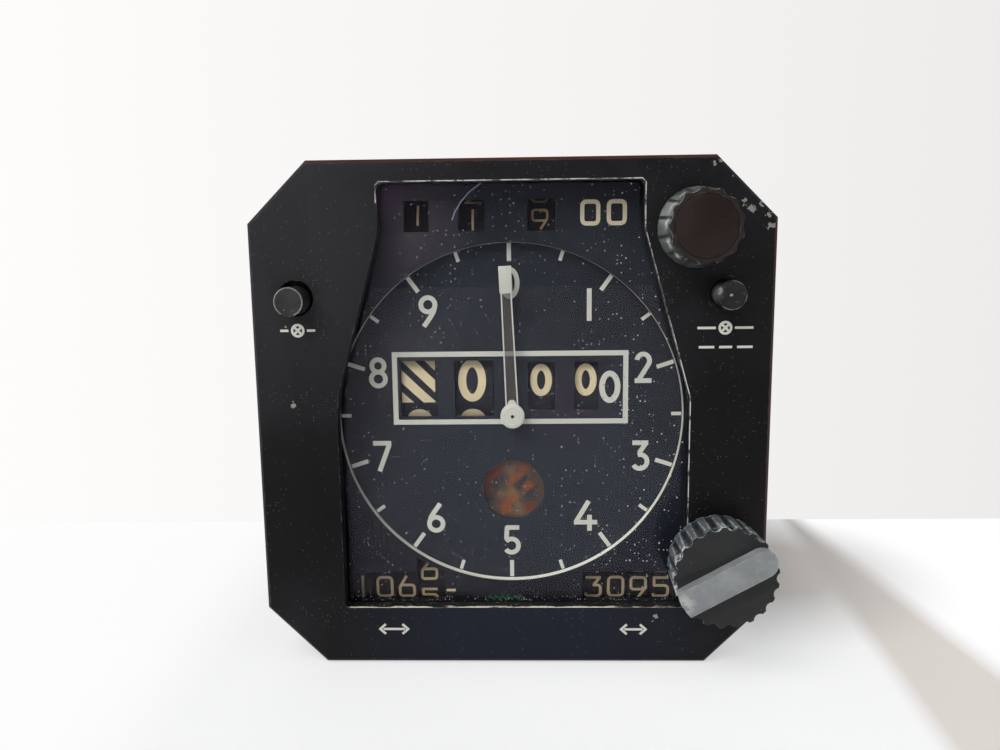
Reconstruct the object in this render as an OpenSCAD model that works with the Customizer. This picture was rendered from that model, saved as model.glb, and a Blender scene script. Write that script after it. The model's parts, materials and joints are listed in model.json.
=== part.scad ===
// Servo altimeter for a clamp-mounted instrument panel.
// X runs to the right, Y runs into the instrument and Z up. The origin is the centre
// of the bezel's rear face, which seats on the panel. A depth is measured from the face.

/* [Bezel] */
// Width and height of the square bezel
bezel_w = 106; // [104:0.5:112]
// Length of each leg that the cut corners take off
corner_cut = 12.3; // [9:0.1:15]
// Small bevel round the front edge
edge_bevel = 0.7; // [0.3:0.1:1.2]
// Thickness of the bezel's lip in front of the glass
lip_t = 3; // [2:0.1:4]
// Depth of the spigot that locates the case
spigot_l = 4; // [3:0.5:6]
// Wall of the spigot
spigot_wall = 1.5; // [1:0.1:1.8]

/* [Window] */
// Half width of the window above its shoulders
window_top_hw = 26.6; // [24:0.1:28]
// Half width of the window below its knees
window_low_hw = 36.2; // [35.8:0.1:37]
// Height of the window's top edge above the centre
window_top_z = 48.4; // [47:0.1:49]
// Height of the shoulders, where the sides start to spread
window_shoulder_z = 38.8; // [36:0.1:41]
// Height of the knees, where the sides turn upright again
window_knee_z = 4.5; // [0:0.1:8]
// Height of the window's bottom edge
window_bottom_z = -40.6; // [-42:0.1:-40]
// Radius in the window's upper corners
window_corner_r = 1.4; // [0.8:0.1:2.5]
// Radius that eases the shoulders
window_shoulder_r = 4; // [2:0.5:8]
// Radius that eases the knees
window_knee_r = 36; // [10:1:45]
// Radius in the window's lower corners
window_low_corner_r = 0.8; // [0.4:0.1:2]
// Rim at the sides of the window on which the glass, mask and dial seat
seat_side = 2.4; // [2.2:0.1:2.6]
// Rim above the window on which they seat
seat_top = 1.6; // [1.2:0.1:1.8]
// Rim below the window, where the view from above runs deepest
seat_low = 5.2; // [4.6:0.1:5.6]
// Thickness of the gasket in front of the glass
gasket_t = 0.3; // [0.2:0.1:0.6]
// Thickness of the cover glass
glass_t = 1.6; // [1.2:0.1:2.2]
// Thickness of the frame that clamps the glass
clamp_t = 1.1; // [0.9:0.1:1.6]

/* [Dial] */
// Radius of the round aperture in the mask
aperture_r = 36.7; // [36:0.1:37]
// Thickness of the mask plate
mask_t = 2; // [1.2:0.1:2.6]
// Thickness of the dial plate
dial_t = 1; // [0.8:0.1:1.6]
// Radius of the warning flag's round aperture
flag_hole_r = 6.7; // [5.5:0.1:7]
// Height of the flag aperture's centre
flag_z = -16.8; // [-18:0.1:-16]

/* [Pointer] */
// Radius of the pointer's hub
hub_r = 2.5; // [2:0.1:3]
// Length of the pointer from its axis to the tip
pointer_l = 31.7; // [28:0.1:33]
// Width of the pointer's blade
pointer_w = 2.4; // [1.8:0.1:2.8]
// Thickness of the pointer's blade
pointer_t = 0.5; // [0.4:0.1:0.7]
// Angle of the pointer at rest, in degrees
pointer_rest = -2; // [-4:0.5:0]
// Radius of the pointer's shaft
shaft_r = 1; // [0.8:0.1:1.2]

/* [Altitude counter] */
// Radius of the four altitude drums
main_r = 16.5; // [15.5:0.1:16.5]
// Height of the altitude drums' axis
main_z = 5.5; // [5:0.1:6]
// Width of the ten thousands and thousands drums
wide_drum_w = 8; // [7:0.1:8.2]
// Width of the hundreds and tens drums
narrow_drum_w = 5.4; // [4.6:0.1:5.6]

/* [Small counters] */
// Radius of the setting counters' drums
small_r = 9.5; // [9:0.1:9.6]
// Width of the pressure drums
small_w = 4.6; // [4.2:0.1:4.6]
// Distance between pressure drums that stand side by side
small_pitch = 5; // [5:0.1:5.1]
// Width of the last millibar drum, which has a scale beside its numbers
last_w = 6.2; // [5.2:0.1:6.3]
// Height of the pressure counters' axis
pressure_z = -39; // [-39.4:0.1:-38.6]
// Width of the selected height drums
selector_w = 5.4; // [5:0.1:5.6]

/* [Gears] */
// Module of every gear
gear_m = 0.5; // [0.5:0.01:0.51]
// Face width of the spur gears
gear_face = 1.6; // [1.2:0.1:1.8]
// Teeth of the gear on the pointer's shaft
pointer_teeth = 60; // [60:4:60]
// Teeth of the servo motor's pinion
servo_teeth = 15; // [15:1:15]

/* [Case] */
// Width and height of the case
case_w = 103.4; // [102.8:0.1:104]
// Wall of the case
case_wall = 1.6; // [1.2:0.1:1.7]
// Length of the case behind the bezel
case_l = 165; // [160:1:190]
// Thickness of the rear cover
cover_t = 3; // [2.5:0.1:4]
// Thickness of the seal between case and cover
seal_t = 1; // [0.6:0.1:1.4]

/* [Knobs] */
// Radius of the pressure knob over its scallops
knob_r = 10.5; // [9.5:0.1:10.5]
// Height of the pressure knob's skirt
knob_h = 9.2; // [8:0.1:10]
// Height of the bar that stands on the skirt
bar_h = 2.4; // [1.5:0.1:3]
// Width of the bar
bar_w = 5.4; // [4.5:0.1:6]
// Number of scallops round the pressure knob
scallops = 21; // [16:1:28]
// Radius of the selector collar at its base
collar_r = 8; // [7.5:0.1:8.4]
// Height of the selector collar
collar_h = 8; // [7:0.1:9]
// Number of flutes round the selector collar
flutes = 13; // [10:1:13]
// Radius of the two push buttons
button_r = 2.9; // [2.6:0.1:3.1]
// How far a button stands out of the face
button_out = 5.5; // [4.5:0.1:7]
// Travel of a button
button_travel = 2; // [1.5:0.1:2.5]

/* [Fits] */
// Radial clearance of shafts that turn in bushes
run_clear = 0.05; // [0.03:0.01:0.08]
// Clearance between moving faces that must not touch
face_clear = 0.4; // [0.3:0.05:0.5]
// Clearance round plates that drop into a pocket
pocket_clear = 0.15; // [0.1:0.05:0.25]

/* [Hidden] */
$fn = 64;

// Depths of the layers behind the face
gasket_d = lip_t;
glass_d = gasket_d + gasket_t;
clamp_d = glass_d + glass_t;
mask_d = clamp_d + clamp_t;
dial_d = mask_d + mask_t;
seat_d = dial_d + dial_t;
face_y = -seat_d;

function unit(v) = v / norm(v);

// Points of the arc that rounds corner b of the path a, b, c
function corner(a, b, c, r, n = 5) =
    let (u = unit(a - b), v = unit(c - b), h = acos(u * v) / 2,
        m = b + unit(u + v) * r / sin(h),
        p = b + u * r / tan(h) - m, q = b + v * r / tan(h) - m, sweep = 180 - 2 * h)
    [for (i = [0 : n]) m + (p * sin(sweep * (1 - i / n)) + q * sin(sweep * i / n)) / sin(sweep)];

// Closed outline whose every corner has its own radius
function rounded(pts, radii) =
    let (n = len(pts))
    [for (i = [0 : n - 1])
        let (a = pts[(i + n - 1) % n], b = pts[i], c = pts[(i + 1) % n])
        each (radii[i] > 0 ? corner(a, b, c, radii[i]) : [b])];

// Outline of the window, grown by side, top and low
function window_points(side, top, low) =
    let (spread = atan((window_low_hw - window_top_hw) / (window_shoulder_z - window_knee_z)),
        up = side * tan(spread / 2),
        right = [[window_top_hw + side, window_top_z + top],
            [window_top_hw + side, window_shoulder_z + up],
            [window_low_hw + side, window_knee_z + up],
            [window_low_hw + side, window_bottom_z - low]],
        radii = [window_corner_r + top, window_shoulder_r, window_knee_r, window_low_corner_r + side])
    rounded(concat(right, [for (i = [3 : -1 : 0]) [-right[i][0], right[i][1]]]),
        concat(radii, [for (i = [3 : -1 : 0]) radii[i]]));

// Outline of the pocket behind the lip, and of what drops into it
module pocket(clear) {
    polygon(window_points(seat_side - clear, seat_top - clear, seat_low - clear));
}

// Square of width w with its corners cut off by legs of length c
function octagon_points(w, c) =
    let (a = w / 2, b = w / 2 - c)
    [[b, a], [a, b], [a, -b], [b, -a], [-b, -a], [-a, -b], [-a, b], [-b, a]];

// Extrudes a flat outline from one depth to another
module layer(d0, d1) {
    translate([0, face_y + d1, 0]) rotate([90, 0, 0]) linear_extrude(d1 - d0) children();
}

// Round bar along Y between two depths
module rod_y(x, z, d0, d1, r, r_end = undef) {
    translate([x, face_y + d0, z]) rotate([-90, 0, 0])
        cylinder(r1 = r, r2 = is_undef(r_end) ? r : r_end, h = d1 - d0);
}

// Round bar along X at one depth
module rod_x(x0, x1, d, z, r) {
    translate([x0, face_y + d, z]) rotate([0, 90, 0]) cylinder(r = r, h = x1 - x0);
}

// Block given by its lowest and highest x, depth and z
module block(x0, x1, d0, d1, z0, z1) {
    translate([x0, face_y + d0, z0]) cube([x1 - x0, d1 - d0, z1 - z0]);
}

// Outline of a spur gear with one tooth on the X axis
module gear_outline(teeth, turned = 0) {
    pitch = 360 / teeth;
    root = teeth * gear_m / 2 - 1.2 * gear_m;
    tip = teeth * gear_m / 2 + 0.8 * gear_m;
    polygon([for (i = [0 : teeth - 1], s = [[root, -0.3], [tip, -0.1], [tip, 0.1], [root, 0.3]])
        s[0] * [cos((i + s[1]) * pitch + turned), sin((i + s[1]) * pitch + turned)]]);
}

// Mitre gear whose teeth run to the apex at the origin; it lies along +Z, big end last
bevel_teeth = 16;
bevel_r = bevel_teeth * gear_m / 2;
bevel_face = 1.3;
bevel_hub = 1.4;
module mitre(turned, bore) {
    small = (bevel_r - bevel_face) / bevel_r;
    difference() {
        union() {
            translate([0, 0, bevel_r]) mirror([0, 0, 1])
                linear_extrude(bevel_face, scale = small) gear_outline(bevel_teeth, turned);
            translate([0, 0, bevel_r]) cylinder(r = bevel_r - 1.4 * gear_m, h = bevel_hub);
        }
        if (bore > 0) translate([0, 0, -1]) cylinder(r = bore, h = 2 * bevel_r + bevel_hub);
    }
}

// Casing and cover

spigot_w = case_w - 2 * case_wall - 2 * pocket_clear;
case_cut_gap = 0.1;
case_cut = corner_cut - (bezel_w - case_w) / 2 * (2 - sqrt(2)) - case_cut_gap;
case_d1 = seat_d + case_l;

// Leg of the corner cut on an octagon that lies inside the case by step
function inner_cut(step) = case_cut - step * (2 - sqrt(2));

knob_x = 42.4;
knob_z = -30.1;
select_x = 37.1;
select_z = 38.9;
button_spots = [[-43.8, 25.3], [42.95, 25.7]];
button_hole_up = [0.4, 0];
bush_wall = 1.1;
knob_shaft_r = 2;
sleeve_r = 3.2;
lamp_tube_r = 1.9;
button_room = 0.75;
button_hole_r = button_r + button_room;
button_stem_r = 1.5;
button_seat_d = 5.5;
stem_d = 12;

module octagon(w, c) {
    polygon(octagon_points(w, c));
}

module bezel() color("#222327") {
    difference() {
        union() {
            layer(edge_bevel, seat_d) octagon(bezel_w, corner_cut);
            hull() {
                layer(edge_bevel, edge_bevel + 0.01) octagon(bezel_w, corner_cut);
                layer(0, 0.01)
                    octagon(bezel_w - 2 * edge_bevel, corner_cut - edge_bevel * (2 - sqrt(2)));
            }
            layer(seat_d, seat_d + spigot_l) octagon(spigot_w, inner_cut(case_wall + pocket_clear));
        }
        layer(seat_d, seat_d + spigot_l + 1)
            octagon(spigot_w - 2 * spigot_wall, inner_cut(case_wall + pocket_clear + spigot_wall));
        layer(-1, seat_d) polygon(window_points(0, 0, 0));
        layer(lip_t, seat_d + spigot_l + 1) pocket(0);
        rod_y(knob_x, knob_z, -1, seat_d + 1, knob_shaft_r + bush_wall);
        rod_y(select_x, select_z, -1, seat_d + 1, sleeve_r + bush_wall);
        for (i = [0, 1]) {
            at = button_spots[i];
            rod_y(at[0], at[1] + button_hole_up[i], -1, button_seat_d, button_hole_r);
            rod_y(at[0], at[1], 0, seat_d + 1, button_stem_r + bush_wall);
        }
    }
}

gasket_back = 0.3;
module window_gasket() color("#15161a") {
    layer(gasket_d, glass_d) difference() {
        pocket(pocket_clear);
        polygon(window_points(gasket_back, gasket_back, gasket_back));
    }
}

module cover_glass() color("#8fa4ad", 0.3) {
    layer(glass_d, clamp_d) pocket(pocket_clear);
}

clamp_open = 1.2;
clamp_low_w = 1.2;
module glass_clamp_frame() color("#1c1d20") {
    layer(clamp_d, mask_d) difference() {
        pocket(pocket_clear);
        polygon(window_points(clamp_open, clamp_open, seat_low - clamp_low_w));
    }
}

rear_lip_w = 11.2;
rear_lip_t = 5;
screw_in = 6.7;
corner_screw_in = 4.5;
screw_r = 1.5;
screw_hole_r = 1.75;
screw_head_r = 2.8;
screw_head_h = 1.7;
screw_slot = 0.7;
cover_screw_points = let (far = case_w / 2 - screw_in, near = far - corner_screw_in)
    [for (x = [-1, 0, 1], z = [-1, 0, 1]) if (abs(x) + abs(z) > 0)
        [x, z] * (abs(x) + abs(z) > 1 ? near : far)];
cover_d = case_d1 + seal_t;
cover_end = cover_d + cover_t;

module case_shell() color("#2b2c2e") {
    layer(seat_d, case_d1) difference() {
        octagon(case_w, case_cut);
        octagon(case_w - 2 * case_wall, inner_cut(case_wall));
    }
    layer(case_d1 - rear_lip_t, case_d1) difference() {
        octagon(case_w, case_cut);
        octagon(case_w - 2 * rear_lip_w, inner_cut(rear_lip_w));
        screw_holes(screw_r);
    }
}

module screw_holes(r) {
    for (p = cover_screw_points) translate(p) circle(r = r);
}

module cover_seal() color("#1a1a1a") {
    layer(case_d1, cover_d) difference() {
        octagon(case_w - 2 * pocket_clear, inner_cut(pocket_clear));
        octagon(case_w - 2 * rear_lip_w, inner_cut(rear_lip_w));
        screw_holes(screw_hole_r);
    }
}

static_x = 26;
static_z = 22;
static_thread_r = 5.5;
static_hex_r = 8.2;
static_hex_t = 5;
static_neck_l = 2;
static_neck_step = 0.8;
static_thread_l = 9;
static_nose_l = 2;
static_nose_r = 3.4;
static_lead = 0.6;
static_bore_r = 2.2;
static_tail_l = 6;
static_tail_r = static_thread_r - 1;
connector_x = -14;
connector_z = -12;
connector_r = 13.5;
connector_wall = 1.6;
connector_l = 15;
connector_flange = 31;
connector_flange_t = 2;
connector_in = 4;
flange_hole_in = 3.1;
flange_hole_r = 1.3;
insert_step = 3;
insert_r = connector_r - 2 * connector_wall;
pin_l = 6;
pin_r = 0.6;
pin_ring = 3.6;
pin_rings = 2;

module rear_cover() color("#2d2e30") {
    difference() {
        layer(cover_d, cover_end) octagon(case_w, case_cut);
        rod_y(static_x, static_z, cover_d - 1, cover_end + 1, static_tail_r);
        rod_y(connector_x, connector_z, cover_d - 1, cover_end + 1, connector_r - connector_wall);
        layer(cover_d - 1, cover_end + 1) screw_holes(screw_hole_r);
    }
}

module cover_screws() color("#8b8c8e") {
    for (p = cover_screw_points) difference() {
        union() {
            rod_y(p[0], p[1], case_d1 - rear_lip_t, cover_end, screw_r);
            rod_y(p[0], p[1], cover_end, cover_end + screw_head_h, screw_head_r);
        }
        block(p[0] - screw_head_r - 1, p[0] + screw_head_r + 1, cover_end + screw_head_h - screw_slot,
            cover_end + screw_head_h + 1, p[1] - screw_slot / 2, p[1] + screw_slot / 2);
    }
}

module static_union() color("#9c9ea0") {
    neck_d = cover_end + static_hex_t;
    thread_d = neck_d + static_neck_l;
    nose_d = thread_d + static_thread_l;
    difference() {
        union() {
            translate([static_x, face_y + cover_end, static_z]) rotate([-90, 0, 0])
                cylinder(r = static_hex_r, h = static_hex_t, $fn = 6);
            rod_y(static_x, static_z, cover_end - static_tail_l, cover_end, static_tail_r);
            rod_y(static_x, static_z, neck_d, thread_d, static_thread_r - static_neck_step);
            rod_y(static_x, static_z, thread_d, nose_d, static_thread_r);
            rod_y(static_x, static_z, nose_d, nose_d + static_nose_l,
                static_thread_r - static_lead, static_nose_r);
        }
        rod_y(static_x, static_z, cover_end - static_tail_l - 1, nose_d + static_nose_l + 1,
            static_bore_r);
    }
}

module connector_shell() color("#7d7f80") {
    hole_at = connector_flange / 2 - flange_hole_in;
    difference() {
        union() {
            layer(cover_end, cover_end + connector_flange_t) translate([connector_x, connector_z])
                square(connector_flange, center = true);
            rod_y(connector_x, connector_z, cover_end, cover_end + connector_l, connector_r);
            rod_y(connector_x, connector_z, cover_d - connector_in, cover_end,
                connector_r - connector_wall);
        }
        rod_y(connector_x, connector_z, cover_d - connector_in - 1, cover_end + connector_l + 1,
            insert_r);
        for (x = [-hole_at, hole_at], z = [-hole_at, hole_at])
            rod_y(connector_x + x, connector_z + z, cover_end - 1,
                cover_end + connector_flange_t + 1, flange_hole_r);
    }
}

module connector_insert() color("#303236") {
    pin_d = cover_end + insert_step;
    rod_y(connector_x, connector_z, cover_d - connector_in, pin_d, insert_r);
    for (ring = [0 : pin_rings], i = [0 : max(0, 6 * ring - 1)]) {
        a = ring == 0 ? 0 : i * 60 / ring;
        rod_y(connector_x + ring * pin_ring * cos(a), connector_z + ring * pin_ring * sin(a),
            pin_d, pin_d + pin_l, pin_r);
    }
}

// Dial

wide_window_z = [-0.5, 11.7];
narrow_window_z = [0.8, 11.3];
main_window = [[[-24.1, -16], wide_window_z], [[-12.4, -4], wide_window_z],
    [[3.3, 9.1], narrow_window_z], [[13.2, 18.4], narrow_window_z]];
select_window = [[-22.2, -16.9], [-10.8, -5.4], [3.4, 9.1]];
select_window_z = [38.8, 45.2];
left_window = [-36, -21.3];
left_tall = [-21.3, -15.2];
left_tall_z = [-43, -30.6];
right_window = [14.9, 34.8];
pressure_window_z = [-43, -34.8];
ring_bridge = 0.8;
aperture_at = [-0.45, -0.1];

module window(x, z, grow = 0) {
    translate([x[0] - grow, z[0] - grow]) square([x[1] - x[0] + 2 * grow, z[1] - z[0] + 2 * grow]);
}

module small_windows(grow) {
    for (x = select_window) window(x, select_window_z, grow);
    window(left_window, pressure_window_z, grow);
    difference() {
        window(left_tall, left_tall_z, grow);
        translate(aperture_at) circle(r = aperture_r + ring_bridge - grow, $fn = 180);
    }
    window(right_window, pressure_window_z, grow);
}

module dial_mask() color("#23262c") {
    layer(mask_d, dial_d) difference() {
        pocket(pocket_clear);
        translate(aperture_at) circle(r = aperture_r, $fn = 180);
        small_windows(0);
    }
}

lamp_r = 1.6;
lamp_l = 9;
dial_lamp_x = 41.4;
dial_lamp_z = 6;
shaft_gap = 0.8;
window_step = 0.6;
module dial_plate() color("#2f353b") {
    layer(dial_d, seat_d) difference() {
        pocket(pocket_clear);
        for (w = main_window) window(w[0], w[1]);
        translate([0, flag_z]) circle(r = flag_hole_r);
        circle(r = shaft_r + shaft_gap);
        small_windows(window_step);
    }
}

// Mechanism frame

pillar_r = 2.2;
plate_t = 2.5;
plate_gap = 1.5;
plate_w = case_w - 2 * case_wall - 2 * plate_gap;
plate_hole_r = 7;
plate_holes = [[-30, 30], [30, -22], [-28, -30]];
pillar_in = 2.8;
pillar_x = plate_w / 2 - pillar_in;
pillar_top_z = 36;
pillar_low_z = -37.8;
pillar_points = [for (x = [-pillar_x, pillar_x], z = [pillar_top_z, pillar_low_z]) [x, z]];
layshaft_teeth = 60;
tens_teeth = 24;
servo_z = 15;
servo_c = (pointer_teeth + servo_teeth) * gear_m / 2;
servo_x = sqrt(servo_c * servo_c - servo_z * servo_z);
main_d = seat_d + face_clear + main_r;
tens_c = (layshaft_teeth + tens_teeth) * gear_m / 2;
layshaft_d = main_d + sqrt(pow(tens_c, 2) - pow(servo_z - main_z, 2));
gear_room = 2.5;
front_plate_d = layshaft_d + layshaft_teeth * gear_m / 2 + gear_room;
front_plate_end = front_plate_d + plate_t;
gear_bay = 7;
rear_plate_d = front_plate_end + gear_bay;
rear_plate_end = rear_plate_d + plate_t;
gear_d = front_plate_end + gear_room;
bush_r = 2.6;
board_d = 132;
board_gap = 14;
board_t = 1.6;
board_side = 1;

module frame_plate(d) {
    layer(d, d + plate_t) difference() {
        octagon(plate_w, inner_cut(case_wall + plate_gap));
        circle(r = bush_r);
        translate([servo_x, servo_z]) circle(r = bush_r);
        for (p = plate_holes) translate(p) circle(r = plate_hole_r);
    }
}

module front_plate() color("#b9b7ae") {
    frame_plate(front_plate_d);
}

module rear_plate() color("#b9b7ae") {
    frame_plate(rear_plate_d);
}

module frame_pillars() color("#c9c7bd") {
    for (p = pillar_points) {
        rod_y(p[0], p[1], seat_d, front_plate_d, pillar_r);
        rod_y(p[0], p[1], front_plate_end, rear_plate_d, pillar_r);
        rod_y(p[0], p[1], rear_plate_end, board_d, pillar_r);
        rod_y(p[0], p[1], board_d + board_t, board_d + board_t + board_gap, pillar_r);
    }
}

// Counters

axle_r = 1.5;
small_axle_r = 1;
cheek_t = 1.4;
rim_t = 1.3;
web_t = 1;
hub_wall = 1.6;
small_d = seat_d + face_clear + small_r;
layshaft_r = 1.2;
main_centres = [for (w = main_window) (w[0][0] + w[0][1]) / 2];
main_widths = [wide_drum_w, wide_drum_w, narrow_drum_w, narrow_drum_w];
select_centres = [-19.9, -8.2, 6.4];
left_centres = [for (i = [0 : 3]) -34.1 + i * small_pitch];
right_centres = [for (i = [0 : 3]) 17.6 + i * small_pitch];
last_centre = left_centres[3] + (last_w - small_w) / 2;
joint = 0.5;

// Number drum: rim, web and hub round a dead axle
module drum(x, d, z, r, w, axle) {
    translate([x - w / 2, face_y + d, z]) rotate([0, 90, 0]) difference() {
        cylinder(r = r, h = w, $fn = 120);
        for (h = [-1, w / 2 + web_t / 2]) translate([0, 0, h]) difference() {
            cylinder(r = r - rim_t, h = w / 2 - web_t / 2 + 1);
            translate([0, 0, -1]) cylinder(r = axle + hub_wall, h = w + 2);
        }
        translate([0, 0, -1]) cylinder(r = axle + run_clear, h = w + 2);
    }
}

// Gear on a tube beside a drum, from x0 to x0 + gear_face
module drum_gear(x0, x1, d, z, teeth, axle, turned) {
    difference() {
        union() {
            translate([x1 - gear_face, face_y + d, z]) rotate([0, 90, 0])
                linear_extrude(gear_face) gear_outline(teeth, turned);
            rod_x(x0 - joint, x1, d, z, axle + hub_wall);
        }
        rod_x(x0 - 1, x1 + 1, d, z, axle + run_clear);
    }
}

// Angle of the line from one X shaft to another, as gear_outline sees it after its turn
function mesh_angle(d0, z0, d1, z1) = atan2(d1 - d0, -(z1 - z0));

drum_room = 2.2;
gear_gap = 0.6;
main_left_cheek = main_centres[0] - wide_drum_w / 2 - drum_room;
tens_gear_x = main_centres[3] + narrow_drum_w / 2 + gear_gap;
main_right_cheek = tens_gear_x + gear_face + 4;
layshaft_left_cheek = 1.6;
layshaft_mesh = mesh_angle(layshaft_d, servo_z, main_d, main_z);

module tens_drum() color("#1b1d20") {
    drum(main_centres[3], main_d, main_z, main_r, narrow_drum_w, axle_r);
    drum_gear(main_centres[3] + narrow_drum_w / 2, tens_gear_x + gear_face, main_d, main_z,
        tens_teeth, axle_r, layshaft_mesh + 180 + 180 / tens_teeth);
}

module hundreds_drum() color("#1b1d20") {
    drum(main_centres[2], main_d, main_z, main_r, narrow_drum_w, axle_r);
}

module thousands_drum() color("#1b1d20") {
    drum(main_centres[1], main_d, main_z, main_r, wide_drum_w, axle_r);
}

module ten_thousands_drum() color("#1b1d20") {
    drum(main_centres[0], main_d, main_z, main_r, wide_drum_w, axle_r);
}

shaft_out = 1;
gear_hub_r = 3;
gear_hub_l = 1.5;
web_hole_r = 3.2;
web_hole_at = 9.2;

// Layshaft that takes the servo's turn to the tens drum
module altitude_layshaft() color("#c2a65a") {
    rod_x(layshaft_left_cheek - shaft_out, main_right_cheek + cheek_t + shaft_out, layshaft_d,
        servo_z, layshaft_r);
    translate([tens_gear_x, face_y + layshaft_d, servo_z]) rotate([0, 90, 0])
        linear_extrude(gear_face) difference() {
            gear_outline(layshaft_teeth, layshaft_mesh);
            for (a = [0 : 60 : 300]) rotate(a) translate([web_hole_at, 0]) circle(r = web_hole_r);
        }
    rod_x(tens_gear_x - gear_hub_l, tens_gear_x, layshaft_d, servo_z, gear_hub_r);
    translate([servo_x, face_y + layshaft_d, servo_z]) rotate([0, -90, 0])
        mitre(90 + 180 / bevel_teeth, 0);
}

pinion_r = 2.2;
pinion_w = 1.6;
pinion_axle_r = 0.9;
pinion_notches = 6;
pinion_notch_r = 0.55;
main_pinion_z = main_z + main_r + face_clear + pinion_r;
small_pinion_c = small_r + face_clear + pinion_r;
low_pinion_d = small_d + small_pinion_c * cos(45);
low_pinion_z = pressure_z - small_pinion_c * sin(45);

module pinion_row(gaps, x0, x1, d, z) {
    rod_x(x0, x1, d, z, pinion_axle_r);
    for (x = gaps) translate([x - pinion_w / 2, face_y + d, z]) rotate([0, 90, 0])
        linear_extrude(pinion_w) difference() {
            circle(r = pinion_r);
            for (i = [1 : pinion_notches]) rotate(i * 360 / pinion_notches)
                translate([pinion_r, 0]) circle(r = pinion_notch_r);
        }
}

select_d = seat_d + face_clear + small_r;
cheek_gap = 0.5;
select_left_cheek = select_centres[0] - selector_w / 2 - drum_room;
select_right_cheek = select_centres[2] + selector_w / 2 + 12;
left_cheek_a = left_centres[0] - small_w / 2 - cheek_gap - cheek_t;
left_gear_x = last_centre + last_w / 2 + gear_gap;
left_cheek_b = left_gear_x + gear_face + gear_gap;
right_cheek_a = right_centres[0] - small_w / 2 - cheek_gap - cheek_t;
right_gear_x = right_centres[3] + small_w / 2 + gear_gap;
right_cheek_b = right_gear_x + gear_face + cheek_gap;
left_teeth = 30;
right_teeth = 15;
pressure_c = (2 * left_teeth) * gear_m / 2;
pressure_layshaft_d = small_d + sqrt(pow(pressure_c, 2) - pow(knob_z - pressure_z, 2));
outer_cheek = knob_x + bevel_r + bevel_hub + face_clear;
pressure_mesh = mesh_angle(pressure_layshaft_d, knob_z, small_d, pressure_z);

module transfer_pinions() color("#d8d4c4") {
    pinion_row([(main_centres[0] + main_centres[1]) / 2, (main_centres[1] + main_centres[2]) / 2,
        (main_centres[2] + main_centres[3]) / 2], main_left_cheek, main_right_cheek,
        main_d, main_pinion_z);
    pinion_row([(select_centres[0] + select_centres[1]) / 2, (select_centres[1] + select_centres[2]) / 2],
        select_left_cheek, select_right_cheek, select_d + small_pinion_c, select_z);
    pinion_row([for (i = [0 : 2]) (left_centres[i] + left_centres[i + 1]) / 2],
        left_cheek_a + cheek_t, left_cheek_b, low_pinion_d, low_pinion_z);
    pinion_row([for (i = [0 : 2]) (right_centres[i] + right_centres[i + 1]) / 2],
        right_cheek_a + cheek_t, right_cheek_b, low_pinion_d, low_pinion_z);
}

module counter_axles() color("#b5b8bb") {
    rod_x(main_left_cheek, main_right_cheek, main_d, main_z, axle_r);
    rod_x(select_left_cheek, select_x - bevel_r - bevel_hub - 1, select_d, select_z, small_axle_r);
    rod_x(left_cheek_a + cheek_t, left_cheek_b, small_d, pressure_z, small_axle_r);
    rod_x(right_cheek_a + cheek_t, right_cheek_b, small_d, pressure_z, small_axle_r);
}

// Cheek plate that stands on the front plate, with its outline in depth and height
module cheek(x, points) {
    translate([x, 0, 0]) rotate([90, 0, 90]) linear_extrude(cheek_t)
        polygon([for (p = points) [face_y + p[0], p[1]]]);
}

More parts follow.
